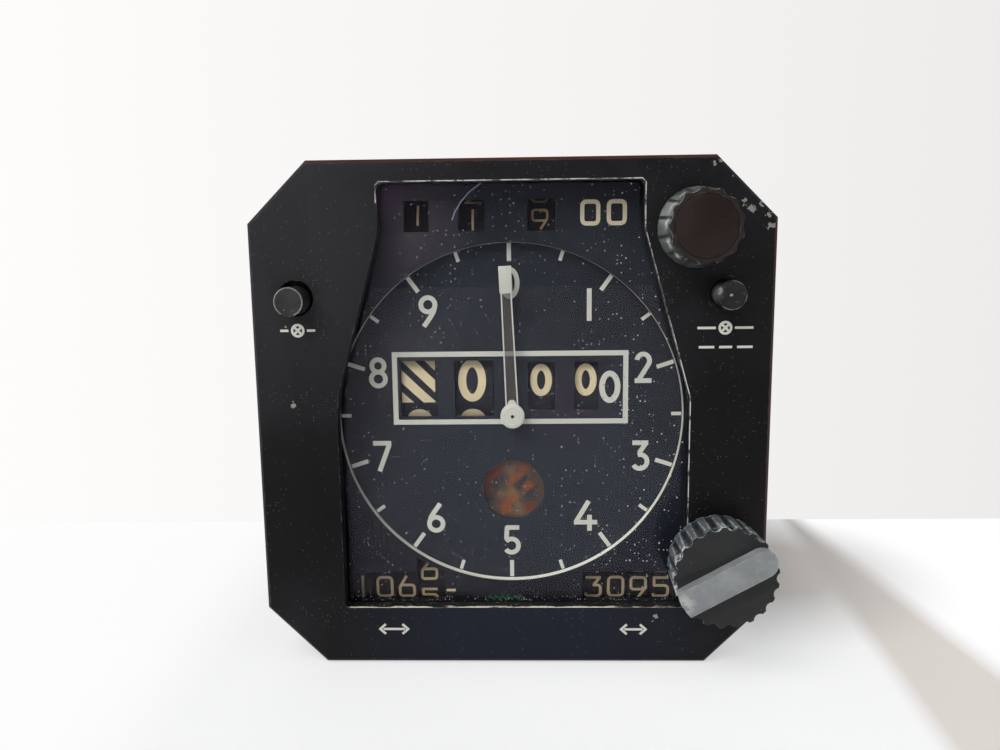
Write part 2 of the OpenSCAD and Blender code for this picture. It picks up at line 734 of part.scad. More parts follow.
nose_r = 2.4;
main_foot = [-6, 28];
servo_foot = 6;
select_foot = [-9, 6];
select_tip = 4;
lamp_arm_d = 6;
lamp_arm_t = 1.5;
lamp_arm_w = 5;
low_nose_up = 4;
low_nose_r = 3;
low_foot_up = 6;
low_foot_down = 1.5;
module counter_brackets() color("#a9a79d") {
    main_nose = [[front_plate_d, main_foot[0]], [front_plate_d, main_foot[1]],
        [main_d - 4, main_pinion_z + nose_r], [main_d - 4, main_z - 5]];
    for (x = [main_left_cheek - cheek_t, main_right_cheek]) difference() {
        cheek(x, main_nose);
        rod_x(x - 1, x + cheek_t + 1, layshaft_d, servo_z, layshaft_r + run_clear);
    }
    difference() {
        cheek(layshaft_left_cheek, [[front_plate_d, servo_z - servo_foot],
            [front_plate_d, servo_z + servo_foot],
            [layshaft_d - nose_r, servo_z + servo_foot / 2],
            [layshaft_d - nose_r, servo_z - servo_foot / 2]]);
        rod_x(layshaft_left_cheek - 1, layshaft_left_cheek + cheek_t + 1, layshaft_d, servo_z,
            layshaft_r + run_clear);
    }
    select_nose = [[front_plate_d, select_z + select_foot[0]],
        [front_plate_d, select_z + select_foot[1]],
        [select_d - 3, select_z + select_tip], [select_d - 3, select_z - select_tip]];
    cheek(select_left_cheek - cheek_t, select_nose);
    difference() {
        union() {
            cheek(select_right_cheek, select_nose);
            block(select_right_cheek, select_x + lamp_arm_w, select_d + lamp_arm_d,
                select_d + lamp_arm_d + lamp_arm_t, select_z - lamp_arm_w, select_z + lamp_arm_w);
        }
        rod_x(select_right_cheek - 1, select_right_cheek + cheek_t + 1, select_d, select_z,
            small_axle_r + hub_wall + run_clear);
        rod_y(select_x, select_z, select_d, select_d + lamp_arm_d + lamp_arm_t + 1, lamp_tube_r);
    }
    low_nose = [[front_plate_d, low_pinion_z - low_foot_down],
        [front_plate_d, knob_z + low_foot_up],
        [pressure_layshaft_d - nose_r, knob_z + low_nose_up],
        [pressure_layshaft_d - nose_r, pressure_z + low_nose_up + 0.3],
        [small_d - low_nose_r, pressure_z + low_nose_up],
        [small_d - low_nose_r, pressure_z - low_nose_r],
        [low_pinion_d - low_nose_r, low_pinion_z - low_foot_down]];
    for (x = [left_cheek_a, left_cheek_b, right_cheek_a, right_cheek_b]) difference() {
        cheek(x, low_nose);
        if (x > left_cheek_a) rod_x(x - 1, x + cheek_t + 1, pressure_layshaft_d, knob_z,
            layshaft_r + run_clear);
    }
    difference() {
        cheek(outer_cheek, [[front_plate_d, knob_z - low_nose_up],
            [front_plate_d, knob_z + low_nose_up],
            [pressure_layshaft_d - low_nose_r, knob_z + low_nose_r],
            [pressure_layshaft_d - low_nose_r, knob_z - low_nose_r]]);
        rod_x(outer_cheek - 1, outer_cheek + cheek_t + 1, pressure_layshaft_d, knob_z,
            layshaft_r + run_clear);
    }
}

module selector_hundreds_drum() color("#1b1d20") {
    drum(select_centres[2], select_d, select_z, small_r, selector_w, small_axle_r);
    difference() {
        rod_x(select_centres[2] + selector_w / 2 - joint, select_x - bevel_r - bevel_hub + joint,
            select_d, select_z, small_axle_r + hub_wall);
        rod_x(select_centres[2], select_x, select_d, select_z, small_axle_r + run_clear);
    }
    translate([select_x, face_y + select_d, select_z]) rotate([0, -90, 0])
        mitre(-90 + 180 / bevel_teeth, small_axle_r + run_clear);
}

module selector_thousands_drum() color("#1b1d20") {
    drum(select_centres[1], select_d, select_z, small_r, selector_w, small_axle_r);
}

module selector_ten_thousands_drum() color("#1b1d20") {
    drum(select_centres[0], select_d, select_z, small_r, selector_w, small_axle_r);
}

module left_drum(i) color("#1e1a16") {
    drum(left_centres[i], small_d, pressure_z, small_r, small_w, small_axle_r);
}

module right_drum(i) color("#1e1a16") {
    drum(right_centres[i], small_d, pressure_z, small_r, small_w, small_axle_r);
}

module left_drum_4() color("#1e1a16") {
    drum(last_centre, small_d, pressure_z, small_r, last_w, small_axle_r);
    drum_gear(last_centre + last_w / 2, left_gear_x + gear_face, small_d,
        pressure_z, left_teeth, small_axle_r, pressure_mesh + 180 + 180 / left_teeth);
}

module right_drum_4() color("#1e1a16") {
    drum(right_centres[3], small_d, pressure_z, small_r, small_w, small_axle_r);
    drum_gear(right_centres[3] + small_w / 2, right_gear_x + gear_face, small_d,
        pressure_z, right_teeth, small_axle_r, pressure_mesh + 180 + 180 / right_teeth);
}

module pressure_layshaft() color("#c2a65a") {
    rod_x(left_cheek_b - gear_face - 1.5, outer_cheek + cheek_t, pressure_layshaft_d, knob_z,
        layshaft_r);
    for (g = [[left_gear_x, left_teeth], [right_gear_x, 2 * left_teeth - right_teeth]])
        translate([g[0], face_y + pressure_layshaft_d, knob_z]) rotate([0, 90, 0])
            linear_extrude(gear_face) gear_outline(g[1], pressure_mesh);
    translate([knob_x, face_y + pressure_layshaft_d, knob_z]) rotate([0, 90, 0])
        mitre(90 + 180 / bevel_teeth, 0);
}

// Pointer and servo

hub_d = clamp_d + 0.4;
blade_d = hub_d + 0.3;
hub_end = mask_d + 0.5;
tip_l = 6.2;
tip_w = 2.7;

module pointer() color("#d8d6cc") {
    rotate([0, pointer_rest, 0]) {
        layer(blade_d, blade_d + pointer_t) {
            translate([-pointer_w / 2, 0]) square([pointer_w, pointer_l - tip_l]);
            translate([-tip_w / 2, pointer_l - tip_l]) square([tip_w, tip_l]);
        }
        difference() {
            rod_y(0, 0, hub_d, hub_end, hub_r);
            rod_y(0, 0, blade_d + pointer_t, hub_end + 1, shaft_r);
        }
    }
}

module pointer_shaft() color("#b5b8bb") {
    rod_y(0, 0, blade_d + pointer_t, rear_plate_end + 1.5, shaft_r);
}

module pointer_gear() color("#c2a65a") {
    difference() {
        union() {
            layer(gear_d, gear_d + gear_face) difference() {
                gear_outline(pointer_teeth);
                for (a = [0 : 72 : 288]) rotate(a) translate([web_hole_at, 0])
                    circle(r = web_hole_r);
            }
            rod_y(0, 0, gear_d + gear_face, gear_d + gear_face + gear_hub_l, gear_hub_r);
        }
        rod_y(0, 0, gear_d - 1, gear_d + gear_face + 3, shaft_r);
    }
}

servo_angle = atan2(servo_z, servo_x);
motor_r = 12;
motor_l = 38;
motor_step = 3;
motor_flange = 1.5;
motor_cap_in = 2;
servo_tail = 6;
module servo_pinion() color("#c2a65a") {
    layer(gear_d, gear_d + gear_face) translate([servo_x, servo_z])
        gear_outline(servo_teeth, servo_angle + 180 + 180 / servo_teeth
            + servo_angle * pointer_teeth / servo_teeth);
    rod_y(servo_x, servo_z, layshaft_d + bevel_r + bevel_hub, rear_plate_end + servo_tail,
        layshaft_r);
    translate([servo_x, face_y + layshaft_d, servo_z]) rotate([-90, 0, 0]) mitre(180, 0);
}

module servo_motor() color("#8f9294") {
    body_d = rear_plate_end + motor_step;
    cap_d = rear_plate_end + motor_l - motor_step;
    difference() {
        union() {
            rod_y(servo_x, servo_z, rear_plate_end, body_d, motor_r + motor_flange);
            rod_y(servo_x, servo_z, body_d, cap_d, motor_r);
            rod_y(servo_x, servo_z, cap_d, cap_d + motor_step, motor_r - motor_cap_in);
        }
        rod_y(servo_x, servo_z, rear_plate_end - 1, rear_plate_end + servo_tail + 2,
            layshaft_r + run_clear);
    }
}

// Pressure sensing

capsule_r = 18;
capsule_x = -22;
capsule_z = -14;
capsule_n = 3;
capsule_t = 4.8;
capsule_step = 8.4;
stem_r = 2;
neck_r = 2.2;
rim_w = 0.6;
wave_n = 3;
wave_h = 0.8;
wave_lift = 0.45;
armature_r = 7;
armature_t = 1;
capsule_lift = 1.6;
armature_at = capsule_n * capsule_step + capsule_lift;
bridge_d = rear_plate_end + 38;
bridge_t = 2;
bridge_w = 14;
leg_t = 1.5;
leg_gap = 1;
bridge_hw = capsule_r + leg_gap + leg_t;

module capsule_bracket() color("#b9b7ae") {
    low = capsule_z - bridge_w / 2;
    high = capsule_z + bridge_w / 2;
    for (x = [-bridge_hw, bridge_hw - leg_t])
        block(capsule_x + x, capsule_x + x + leg_t, rear_plate_end, bridge_d, low, high);
    difference() {
        block(capsule_x - bridge_hw, capsule_x + bridge_hw, bridge_d, bridge_d + bridge_t, low, high);
        rod_y(capsule_x, capsule_z, bridge_d - 1, bridge_d + bridge_t + 1, stem_r);
    }
}

// Half section of one capsule: two corrugated diaphragms that meet at the rim
module capsule_section() {
    step = (capsule_r - neck_r) / (2 * wave_n + 1);
    wave = [for (i = [0 : 2 * wave_n]) [neck_r + i * step, wave_lift * i / 3 + (i % 2) * wave_h]];
    rim = capsule_t / 2 - rim_w / 2;
    polygon(concat([[0, 0]], wave, [[capsule_r, rim], [capsule_r, capsule_t - rim]],
        [for (i = [2 * wave_n : -1 : 0]) [wave[i][0], capsule_t - wave[i][1]]],
        [[0, capsule_t]]));
}

module capsule_stack() color("#c7b98a") {
    translate([capsule_x, face_y + bridge_d, capsule_z]) rotate([90, 0, 0]) {
        translate([0, 0, -bridge_t - 1]) cylinder(r = stem_r, h = bridge_t + capsule_lift + 1.4);
        translate([0, 0, armature_at]) cylinder(r = armature_r, h = armature_t);
        for (i = [0 : capsule_n - 1]) translate([0, 0, capsule_lift + i * capsule_step]) {
            rotate_extrude() capsule_section();
            translate([0, 0, capsule_t - 0.4]) cylinder(r = neck_r, h = capsule_step - capsule_t + 0.8);
        }
    }
}

core_hw = 5;
core_base_t = 4;
core_gap = 1.2;
limb_w = 2.6;
module pick_off_core() color("#6f6a5e") {
    low = capsule_z - armature_r;
    base_d = rear_plate_end + core_base_t;
    block(capsule_x - core_hw, capsule_x + core_hw, rear_plate_end, base_d, low,
        low + 2 * armature_r);
    for (i = [0 : 2]) {
        z = low + i * (armature_r - limb_w / 2);
        block(capsule_x - core_hw, capsule_x + core_hw, base_d,
            bridge_d - armature_at - armature_t - core_gap, z, z + limb_w);
    }
}

module amplifier_boards() color("#3c5a3a") {
    for (i = [0, 1]) {
        d = board_d + i * (board_t + board_gap);
        layer(d, d + board_t) octagon(plate_w - 2 * board_side,
            inner_cut(case_wall + plate_gap + board_side));
    }
}

// Warning flag

flag_pivot_x = 8;
flag_pivot_z = -27;
flag_r = 7.5;
flag_d = seat_d + 0.5;
flag_t = 0.4;
flag_arm_w = 2;
flag_hub_r = 2;
flag_pin_r = 0.8;
flag_pin_l = 5;
solenoid_r = 5;
solenoid_l = 14;
solenoid_d = flag_d + flag_t + 0.6;
solenoid_leg_r = 1;
solenoid_leg_x = 4.2;
solenoid_leg_z = -4;
solenoid_leg_in = 3;
module warning_flag() color("#b4602c") {
    arm = [-flag_pivot_x, flag_z - flag_pivot_z];
    layer(flag_d, flag_d + flag_t) translate([flag_pivot_x, flag_pivot_z]) {
        translate(arm) circle(r = flag_r);
        circle(r = flag_hub_r);
        rotate(atan2(arm[1], arm[0])) translate([0, -flag_arm_w / 2])
            square([flag_r, flag_arm_w]);
    }
    rod_y(flag_pivot_x, flag_pivot_z, flag_d + flag_t, flag_d + flag_pin_l, flag_pin_r);
}

module flag_solenoid() color("#9a8f78") {
    difference() {
        union() {
            rod_y(flag_pivot_x, flag_pivot_z, solenoid_d, solenoid_d + solenoid_l, solenoid_r);
            for (x = [-solenoid_leg_x, solenoid_leg_x])
                rod_y(flag_pivot_x + x, flag_pivot_z + solenoid_leg_z, seat_d,
                    solenoid_d + solenoid_leg_in, solenoid_leg_r);
        }
        rod_y(flag_pivot_x, flag_pivot_z, solenoid_d - 1, flag_d + flag_pin_l + 2,
            flag_pin_r + run_clear);
    }
}

// Knobs and buttons

knob_gap = 0.5;
knob_taper = 0.4;
knob_bore_in = 2;
bar_turn = 29;
bar_step = 0.2;
bar_end = knob_r - bar_step - bar_w / 2;
scallop_r = 1.3;
scallop_out = 0.65;
module pressure_knob() color("#2a2b2d") {
    difference() {
        union() {
            rod_y(knob_x, knob_z, -knob_gap - knob_h, -knob_gap, knob_r, knob_r - knob_taper);
            translate([knob_x, face_y - knob_gap - knob_h, knob_z]) rotate([90, 0, 0])
                rotate(bar_turn) intersection() {
                    linear_extrude(bar_h) {
                        translate([-knob_r, -bar_w / 2]) square([knob_r + bar_end, bar_w]);
                        translate([bar_end, 0]) circle(r = bar_w / 2);
                    }
                    cylinder(r = knob_r - bar_step, h = bar_h);
                }
        }
        for (i = [0 : scallops - 1]) translate([knob_x, 0, knob_z])
            rotate([0, i * 360 / scallops, 0])
                translate([knob_r + scallop_out, face_y, 0]) rotate([90, 0, 0])
                    cylinder(r = scallop_r, h = knob_h + knob_gap + 1, $fn = 20);
        rod_y(knob_x, knob_z, -knob_gap - knob_h + knob_bore_in, 1, knob_shaft_r);
    }
}

module pressure_shaft() color("#b5b8bb") {
    rod_y(knob_x, knob_z, -knob_gap - knob_h + knob_bore_in,
        pressure_layshaft_d - bevel_r - bevel_hub, knob_shaft_r);
    translate([knob_x, face_y + pressure_layshaft_d, knob_z]) rotate([90, 0, 0]) mitre(0, 0);
}

collar_taper = 1.1;
lens_r = 5.8;
lens_t = 2;
lens_gap = 0.3;
flute_depth = 0.45;
flute_r = 2.6;
flute_run = 0.05;
lens_pocket_d = -knob_gap - collar_h + lens_t + 2.5;
module selector_collar() color("#303134") {
    difference() {
        rod_y(select_x, select_z, -knob_gap - collar_h, -knob_gap, collar_r - collar_taper, collar_r);
        for (i = [0 : flutes - 1]) translate([select_x, 0, select_z])
            rotate([0, i * 360 / flutes, 0])
                translate([collar_r + flute_r + flute_run, face_y - knob_gap, 0])
                    rotate([90, 0, 0])
                        rotate([0, -atan((collar_taper + flute_depth + flute_run) / collar_h), 0])
                            cylinder(r = flute_r, h = collar_h + 2);
        rod_y(select_x, select_z, -knob_gap - collar_h - 1, lens_pocket_d, lens_r + lens_gap);
        rod_y(select_x, select_z, -collar_h, 1, sleeve_r);
    }
}

module selector_sleeve() color("#b5b8bb") {
    difference() {
        rod_y(select_x, select_z, lens_pocket_d, select_d - bevel_r - bevel_hub + joint,
            sleeve_r);
        rod_y(select_x, select_z, -collar_h, select_d, lamp_tube_r + run_clear);
    }
    translate([select_x, face_y + select_d, select_z]) rotate([90, 0, 0])
        mitre(180, lamp_tube_r + run_clear);
}

holder_d = -knob_gap - collar_h + lens_t;
holder_t = 1.2;
holder_step = 0.4;
holder_wall = 0.7;
lamp_in = 4;
module alert_lamp_holder() color("#8f9294") {
    difference() {
        union() {
            rod_y(select_x, select_z, holder_d, select_d + lamp_arm_d + lamp_arm_t + 1.5,
                lamp_tube_r);
            rod_y(select_x, select_z, holder_d, holder_d + holder_t, lens_r - holder_step);
        }
        rod_y(select_x, select_z, holder_d - 1, lamp_in, lamp_tube_r - holder_wall);
    }
}

module alert_lens() color("#3a241c") {
    rod_y(select_x, select_z, -knob_gap - collar_h, holder_d, lens_r);
}

module lamps() color("#e6dcc0") {
    rod_y(select_x, select_z, holder_d + holder_t / 2, lamp_in, lamp_tube_r - holder_wall);
    for (x = [-dial_lamp_x, dial_lamp_x])
        rod_y(x, dial_lamp_z, seat_d, seat_d + lamp_l, lamp_r);
}

bush_out = 1.5;
stem_bush_out = 1;
module bushes() color("#a8844a") {
    difference() {
        union() {
            rod_y(knob_x, knob_z, 0, seat_d + bush_out, knob_shaft_r + bush_wall);
            rod_y(select_x, select_z, 0, seat_d + bush_out, sleeve_r + bush_wall);
            for (at = button_spots)
                rod_y(at[0], at[1], button_seat_d, seat_d + stem_bush_out,
                    button_stem_r + bush_wall);
            for (d = [front_plate_d, rear_plate_d], p = [[0, 0], [servo_x, servo_z]])
                rod_y(p[0], p[1], d, d + plate_t, bush_r);
        }
        rod_y(knob_x, knob_z, -1, seat_d + 2, knob_shaft_r + run_clear);
        rod_y(select_x, select_z, -1, seat_d + 2, sleeve_r + run_clear);
        for (at = button_spots)
            rod_y(at[0], at[1], 0, seat_d + 2, button_stem_r + run_clear);
        rod_y(0, 0, front_plate_d - 1, rear_plate_end + 1, shaft_r + run_clear);
        rod_y(servo_x, servo_z, front_plate_d - 1, rear_plate_end + 1, layshaft_r + run_clear);
    }
}

button_head_d = 2.2;
dish_r = 12;
dish_depth = 0.4;
spring_step = 0.3;
spring_wall = 0.6;
module button(at) {
    difference() {
        rod_y(at[0], at[1], -button_out, button_head_d, button_r);
        translate([at[0], face_y - button_out - dish_r + dish_depth, at[1]]) sphere(r = dish_r);
    }
    rod_y(at[0], at[1], button_head_d, stem_d, button_stem_r);
}

module test_button() color("#2c2d30") {
    button(button_spots[0]);
}

module cancel_button() color("#2c2d30") {
    button(button_spots[1]);
}

// Return spring as a plain sleeve between the button's head and its seat
module button_spring(at) {
    difference() {
        rod_y(at[0], at[1], button_head_d, button_seat_d, button_r - spring_step);
        rod_y(at[0], at[1], 0, button_seat_d + 1, button_r - spring_step - spring_wall);
    }
}

module left_button_spring() color("#b5b8bb") {
    button_spring(button_spots[0]);
}

module right_button_spring() color("#b5b8bb") {
    button_spring(button_spots[1]);
}

switch_hw = 4;
switch_wall = 0.8;
switch_floor = 1;
switch_l = 9;
switch_gap = 0.4;
module button_switches() color("#3a3431") {
    for (at = button_spots) difference() {
        block(at[0] - switch_hw, at[0] + switch_hw, seat_d,
            stem_d + button_travel + switch_l, at[1] - switch_hw, at[1] + switch_hw);
        block(at[0] - switch_hw + switch_wall, at[0] + switch_hw - switch_wall, seat_d - 1,
            stem_d + button_travel + switch_gap, at[1] - switch_hw + switch_floor,
            at[1] + switch_hw + 1);
    }
}

bezel();
window_gasket();
cover_glass();
glass_clamp_frame();
dial_mask();
dial_plate();
lamps();
front_plate();
rear_plate();
frame_pillars();
counter_brackets();
counter_axles();
transfer_pinions();
servo_motor();
capsule_bracket();
capsule_stack();
pick_off_core();
amplifier_boards();
alert_lamp_holder();
alert_lens();
bushes();
left_button_spring();
right_button_spring();
button_switches();
case_shell();
cover_seal();
rear_cover();
cover_screws();
static_union();
connector_shell();
connector_insert();
flag_solenoid();
pointer();
pointer_shaft();
pointer_gear();
servo_pinion();
altitude_layshaft();
tens_drum();
hundreds_drum();
thousands_drum();
ten_thousands_drum();
selector_collar();
selector_sleeve();
selector_hundreds_drum();
selector_thousands_drum();
selector_ten_thousands_drum();
pressure_knob();
pressure_shaft();
pressure_layshaft();
left_drum(0);  // left_drum_1
left_drum(1);  // left_drum_2
left_drum(2);  // left_drum_3
left_drum_4();
right_drum(0);  // right_drum_1
right_drum(1);  // right_drum_2
right_drum(2);  // right_drum_3
right_drum_4();
test_button();
cancel_button();
warning_flag();
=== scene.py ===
import json
import math
import bpy
from mathutils import Matrix, Vector


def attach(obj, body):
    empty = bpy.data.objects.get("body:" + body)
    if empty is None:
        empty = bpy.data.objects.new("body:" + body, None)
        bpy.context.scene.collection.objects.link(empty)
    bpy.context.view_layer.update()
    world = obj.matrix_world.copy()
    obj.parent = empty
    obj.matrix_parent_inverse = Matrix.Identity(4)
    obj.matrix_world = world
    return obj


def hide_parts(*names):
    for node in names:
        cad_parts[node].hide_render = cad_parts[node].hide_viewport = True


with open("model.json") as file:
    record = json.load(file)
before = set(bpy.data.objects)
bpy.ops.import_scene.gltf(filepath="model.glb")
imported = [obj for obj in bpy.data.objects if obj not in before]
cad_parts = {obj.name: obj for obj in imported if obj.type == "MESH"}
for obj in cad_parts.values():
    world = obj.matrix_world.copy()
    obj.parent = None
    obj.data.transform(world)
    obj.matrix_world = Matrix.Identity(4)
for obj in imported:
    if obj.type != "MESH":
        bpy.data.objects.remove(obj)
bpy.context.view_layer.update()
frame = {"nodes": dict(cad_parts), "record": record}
cad = frame["nodes"]
bodyOf = {node: body for body, members in frame["record"]["behaviour"]["bodies"].items() for node in members}
mm = 0.001
upright = Matrix.Rotation(math.radians(90), 4, "X")
print("frame loaded:", len(cad), "nodes")


# picking, joining and finishing pieces

def setMode(mode):
    bpy.ops.object.mode_set(mode=mode)


def dropSelection():
    if bpy.context.object and bpy.context.object.mode != "OBJECT":
        setMode("OBJECT")
    bpy.ops.object.select_all(action="DESELECT")


def pickUp(piece):
    dropSelection()
    piece.select_set(True)
    bpy.context.view_layer.objects.active = piece
    return piece


def newObject(name, data):
    piece = bpy.data.objects.new(name, data)
    bpy.context.scene.collection.objects.link(piece)
    return piece


def justMade(name):
    piece = bpy.context.object
    piece.name = name
    return piece


def joinPieces(pieces, name):
    dropSelection()
    for piece in pieces:
        piece.select_set(True)
    bpy.context.view_layer.objects.active = pieces[0]
    if len(pieces) > 1:
        bpy.ops.object.join()
    pieces[0].name = name
    return pieces[0]


def editAll(piece):
    pickUp(piece)
    setMode("EDIT")
    bpy.ops.mesh.select_all(action="SELECT")


def selectFaces(piece, wanted):
    editAll(piece)
    bpy.ops.mesh.select_mode(type="FACE")
    bpy.ops.mesh.select_all(action="DESELECT")
    setMode("OBJECT")
    for face in piece.data.polygons:
        face.select = wanted(face)
    setMode("EDIT")


def applied(piece, kind, **settings):
    pickUp(piece)
    modifier = piece.modifiers.new(kind.lower(), kind)
    for key, value in settings.items():
        setattr(modifier, key, value)
    bpy.ops.object.modifier_apply(modifier=modifier.name)
    return piece


def roundEdges(piece, width, segments=2):
    return applied(piece, "BEVEL", width=width * mm, segments=segments, limit_method="ANGLE",
        angle_limit=math.radians(30))


def smoothOver(piece, angle=35):
    pickUp(piece)
    bpy.ops.object.shade_smooth_by_angle(angle=math.radians(angle))
    return piece


def painted(piece, *finishNames):
    piece.data.materials.clear()
    for name in finishNames:
        piece.data.materials.append(bpy.data.materials[name])
    return piece


def fitTo(piece, body, slotName, *finishNames):
    painted(piece, *finishNames)
    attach(piece, body)
    return piece


# a copy of a node's mesh with its doubles merged and its edges rounded
def castingFrom(node, name, width, smooth=35, segments=2):
    piece = pickUp(newObject(name, cad[node].data.copy()))
    if piece.data.has_custom_normals:
        bpy.ops.mesh.customdata_custom_splitnormals_clear()
    editAll(piece)
    bpy.ops.mesh.remove_doubles(threshold=2e-6)
    bpy.ops.mesh.dissolve_limited(angle_limit=math.radians(0.5))
    setMode("OBJECT")
    if width:
        roundEdges(piece, width, segments)
    smoothOver(piece, smooth)
    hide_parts(node)
    return piece


# shader nodes: a small wrapper, and the groups that the finishes share

groups = {}


def scaled(*place):
    return tuple(v * mm for v in place)


class Graph:
    def __init__(self, tree):
        self.tree = tree

    def feed(self, socket, value):
        if isinstance(value, bpy.types.NodeSocket):
            self.tree.links.new(value, socket)
        else:
            socket.default_value = (*value, 1) if socket.type == "RGBA" else value

    def feedAll(self, sockets, values):
        for key, value in values.items():
            self.feed(sockets[key], value)

    def put(self, kind, inputs=None, **settings):
        node = self.tree.nodes.new("ShaderNode" + kind)
        for key, value in settings.items():
            setattr(node, key, value)
        self.feedAll(node.inputs, inputs or {})
        return node

    def maths(self, operation, first, second=None, clamp=False):
        inputs = {0: first} if second is None else {0: first, 1: second}
        return self.put("Math", inputs, operation=operation, use_clamp=clamp).outputs[0]

    def plus(self, first, second, clamp=False):
        return self.maths("ADD", first, second, clamp)

    def minus(self, first, second):
        return self.maths("SUBTRACT", first, second)

    def times(self, first, second, clamp=False):
        return self.maths("MULTIPLY", first, second, clamp)

    def rest(self, share):
        return self.minus(1.0, share)

    def most(self, first, second):
        return second if first is None else self.maths("MAXIMUM", first, second)

    def blend(self, factor, first, second):
        return self.put("Mix", {"Factor": factor, 6: first, 7: second}, data_type="RGBA").outputs[2]

    def place(self):
        return self.put("TexCoord").outputs["Object"]

    def axes(self, origin=None):
        at = self.place()
        if origin is not None:
            at = self.put("VectorMath", {0: at, 1: origin}, operation="SUBTRACT").outputs[0]
        return self.put("SeparateXYZ", {0: at}).outputs

    def distance(self, centre):
        return self.put("VectorMath", {0: self.place(), 1: centre}, operation="DISTANCE").outputs["Value"]

    def ramp(self, value, low, high):
        inputs = {"Value": value, "From Min": low, "From Max": high}
        return self.put("MapRange", inputs, interpolation_type="SMOOTHSTEP").outputs["Result"]

    def noise(self, scale, detail=2, roughness=0.5, distortion=0, at=None):
        inputs = {"Vector": self.place() if at is None else at, "Scale": scale, "Detail": detail,
            "Roughness": roughness, "Distortion": distortion}
        return self.put("TexNoise", inputs).outputs["Fac"]

    def bump(self, height, strength, distance):
        inputs = {"Height": height, "Strength": strength, "Distance": distance}
        return self.put("Bump", inputs).outputs[0]

    def use(self, name, **values):
        return self.put("Group", values, node_tree=groups[name]).outputs

    def stain(self, scale, cut, softness):
        return self.use("stains", Scale=scale, Cut=cut, Softness=softness)[0]

    def patch(self, x, y, z, radius, raggedness, breakup=600.0):
        return self.use("softPatch", Centre=scaled(x, y, z), Radius=radius * mm, Breakup=breakup,
            Raggedness=raggedness)[0]


def makeGroup(name, build, outputs, **inputs):
    tree = bpy.data.node_groups.new(name, "ShaderNodeTree")
    for label, value in inputs.items():
        kind = "Vector" if isinstance(value, tuple) else "Float"
        tree.interface.new_socket(name=label, in_out="INPUT",
            socket_type="NodeSocket" + kind).default_value = value
    for label in outputs:
        tree.interface.new_socket(name=label, in_out="OUTPUT", socket_type="NodeSocketFloat")
    given = tree.nodes.new("NodeGroupInput").outputs
    results = build(Graph(tree), given)
    for socket, result in zip(tree.nodes.new("NodeGroupOutput").inputs, results):
        tree.links.new(result, socket)
    groups[name] = tree


# pale where the surface turns at an edge: real edge wear, and painted highlight on the ridges of the knob and
# collar rims
def edgeWear(g, given):
    rounded = g.put("Bevel", {"Radius": given["Radius"]}, samples=4).outputs[0]
    facing = g.put("NewGeometry").outputs["Normal"]
    alike = g.put("VectorMath", {0: rounded, 1: facing}, operation="DOT_PRODUCT").outputs["Value"]
    edge = g.times(g.rest(alike), given["Strength"])
    kept = g.ramp(g.noise(given["Breakup"], 5, 0.65), given["Patchiness"], g.plus(given["Patchiness"], 0.12))
    return [g.times(edge, kept, True)]


def fineGrain(g, given):
    at = g.put("Mapping", {"Vector": g.place(), "Scale": given["Stretch"]}).outputs[0]
    return [g.noise(given["Scale"], 3, at=at), g.noise(g.times(given["Scale"], 0.04), 4, at=at)]


def specks(g, given, flat):
    at = g.place()
    if flat:
        parts = g.axes()
        at = g.put("CombineXYZ", {"X": parts["X"], "Y": parts["Z"]}).outputs[0]
    cells = g.put("TexVoronoi", voronoi_dimensions="2D" if flat else "3D")
    g.feedAll(cells.inputs, {"Vector": at, "Scale": given["Scale"]})
    chance = g.put("SeparateColor", {0: cells.outputs["Color"]}).outputs
    crowded = g.ramp(g.noise(110, 3), 0.45, 0.68)
    lone = g.times(given["Clusters"], g.rest(crowded))
    amount = g.times(given["Amount"], g.rest(lone))
    chosen = g.maths("GREATER_THAN", chance[0], g.rest(amount))
    reach = g.times(given["Size"], g.plus(chance[1], 0.25))
    inside = g.rest(g.maths("DIVIDE", cells.outputs["Distance"], reach))
    return [g.times(chosen, g.times(g.most(inside, 0.0), 3.0, True))]


def stains(g, given):
    cloud = g.noise(given["Scale"], 6, 0.6, 0.6)
    return [g.ramp(cloud, given["Cut"], g.plus(given["Cut"], given["Softness"]))]


def scratches(g, given):
    turned = {"Vector": g.place(), "Rotation": (0.4, 0.7, 0.5), "Scale": (1, 0.12, 0.3)}
    at = g.put("Mapping", turned).outputs[0]
    lines = g.put("TexVoronoi", {"Vector": at, "Scale": 220.0},
        feature="DISTANCE_TO_EDGE").outputs["Distance"]
    kept = g.maths("GREATER_THAN", g.noise(130), g.rest(given["Amount"]))
    return [g.times(g.maths("LESS_THAN", lines, 0.02), kept)]


def chipSpot(g, given):
    ragged = g.minus(g.times(g.noise(1400, 4), 6.0), 2.0)
    return [g.maths("LESS_THAN", g.distance(given["Centre"]), g.times(given["Radius"], ragged))]


def softPatch(g, given):
    near = g.rest(g.maths("DIVIDE", g.distance(given["Centre"]), given["Radius"]))
    low, high = g.minus(given["Raggedness"], 0.05), g.plus(given["Raggedness"], 0.05)
    return [g.times(g.times(near, 1.6, True), g.ramp(g.noise(given["Breakup"], 5, 0.65), low, high))]


# painted shade: dark between two radii round an axis along Y, in the hollows between ridges
def deepValley(g, given):
    parts = g.axes(given["Axis"])
    square = g.plus(g.times(parts["X"], parts["X"]), g.times(parts["Z"], parts["Z"]))
    return [g.rest(g.ramp(g.maths("SQRT", square), given["Valley"], given["Ridge"]))]


# painted shade: dark lines along the flute valleys, by the angle round an axis along Y
def fluteLines(g, given):
    parts = g.axes(given["Axis"])
    angle = g.maths("ARCTAN2", parts["Z"], parts["X"])
    wave = g.maths("COSINE", g.times(angle, given["Count"]))
    return [g.ramp(wave, given["Cut"], g.plus(given["Cut"], 0.25))]


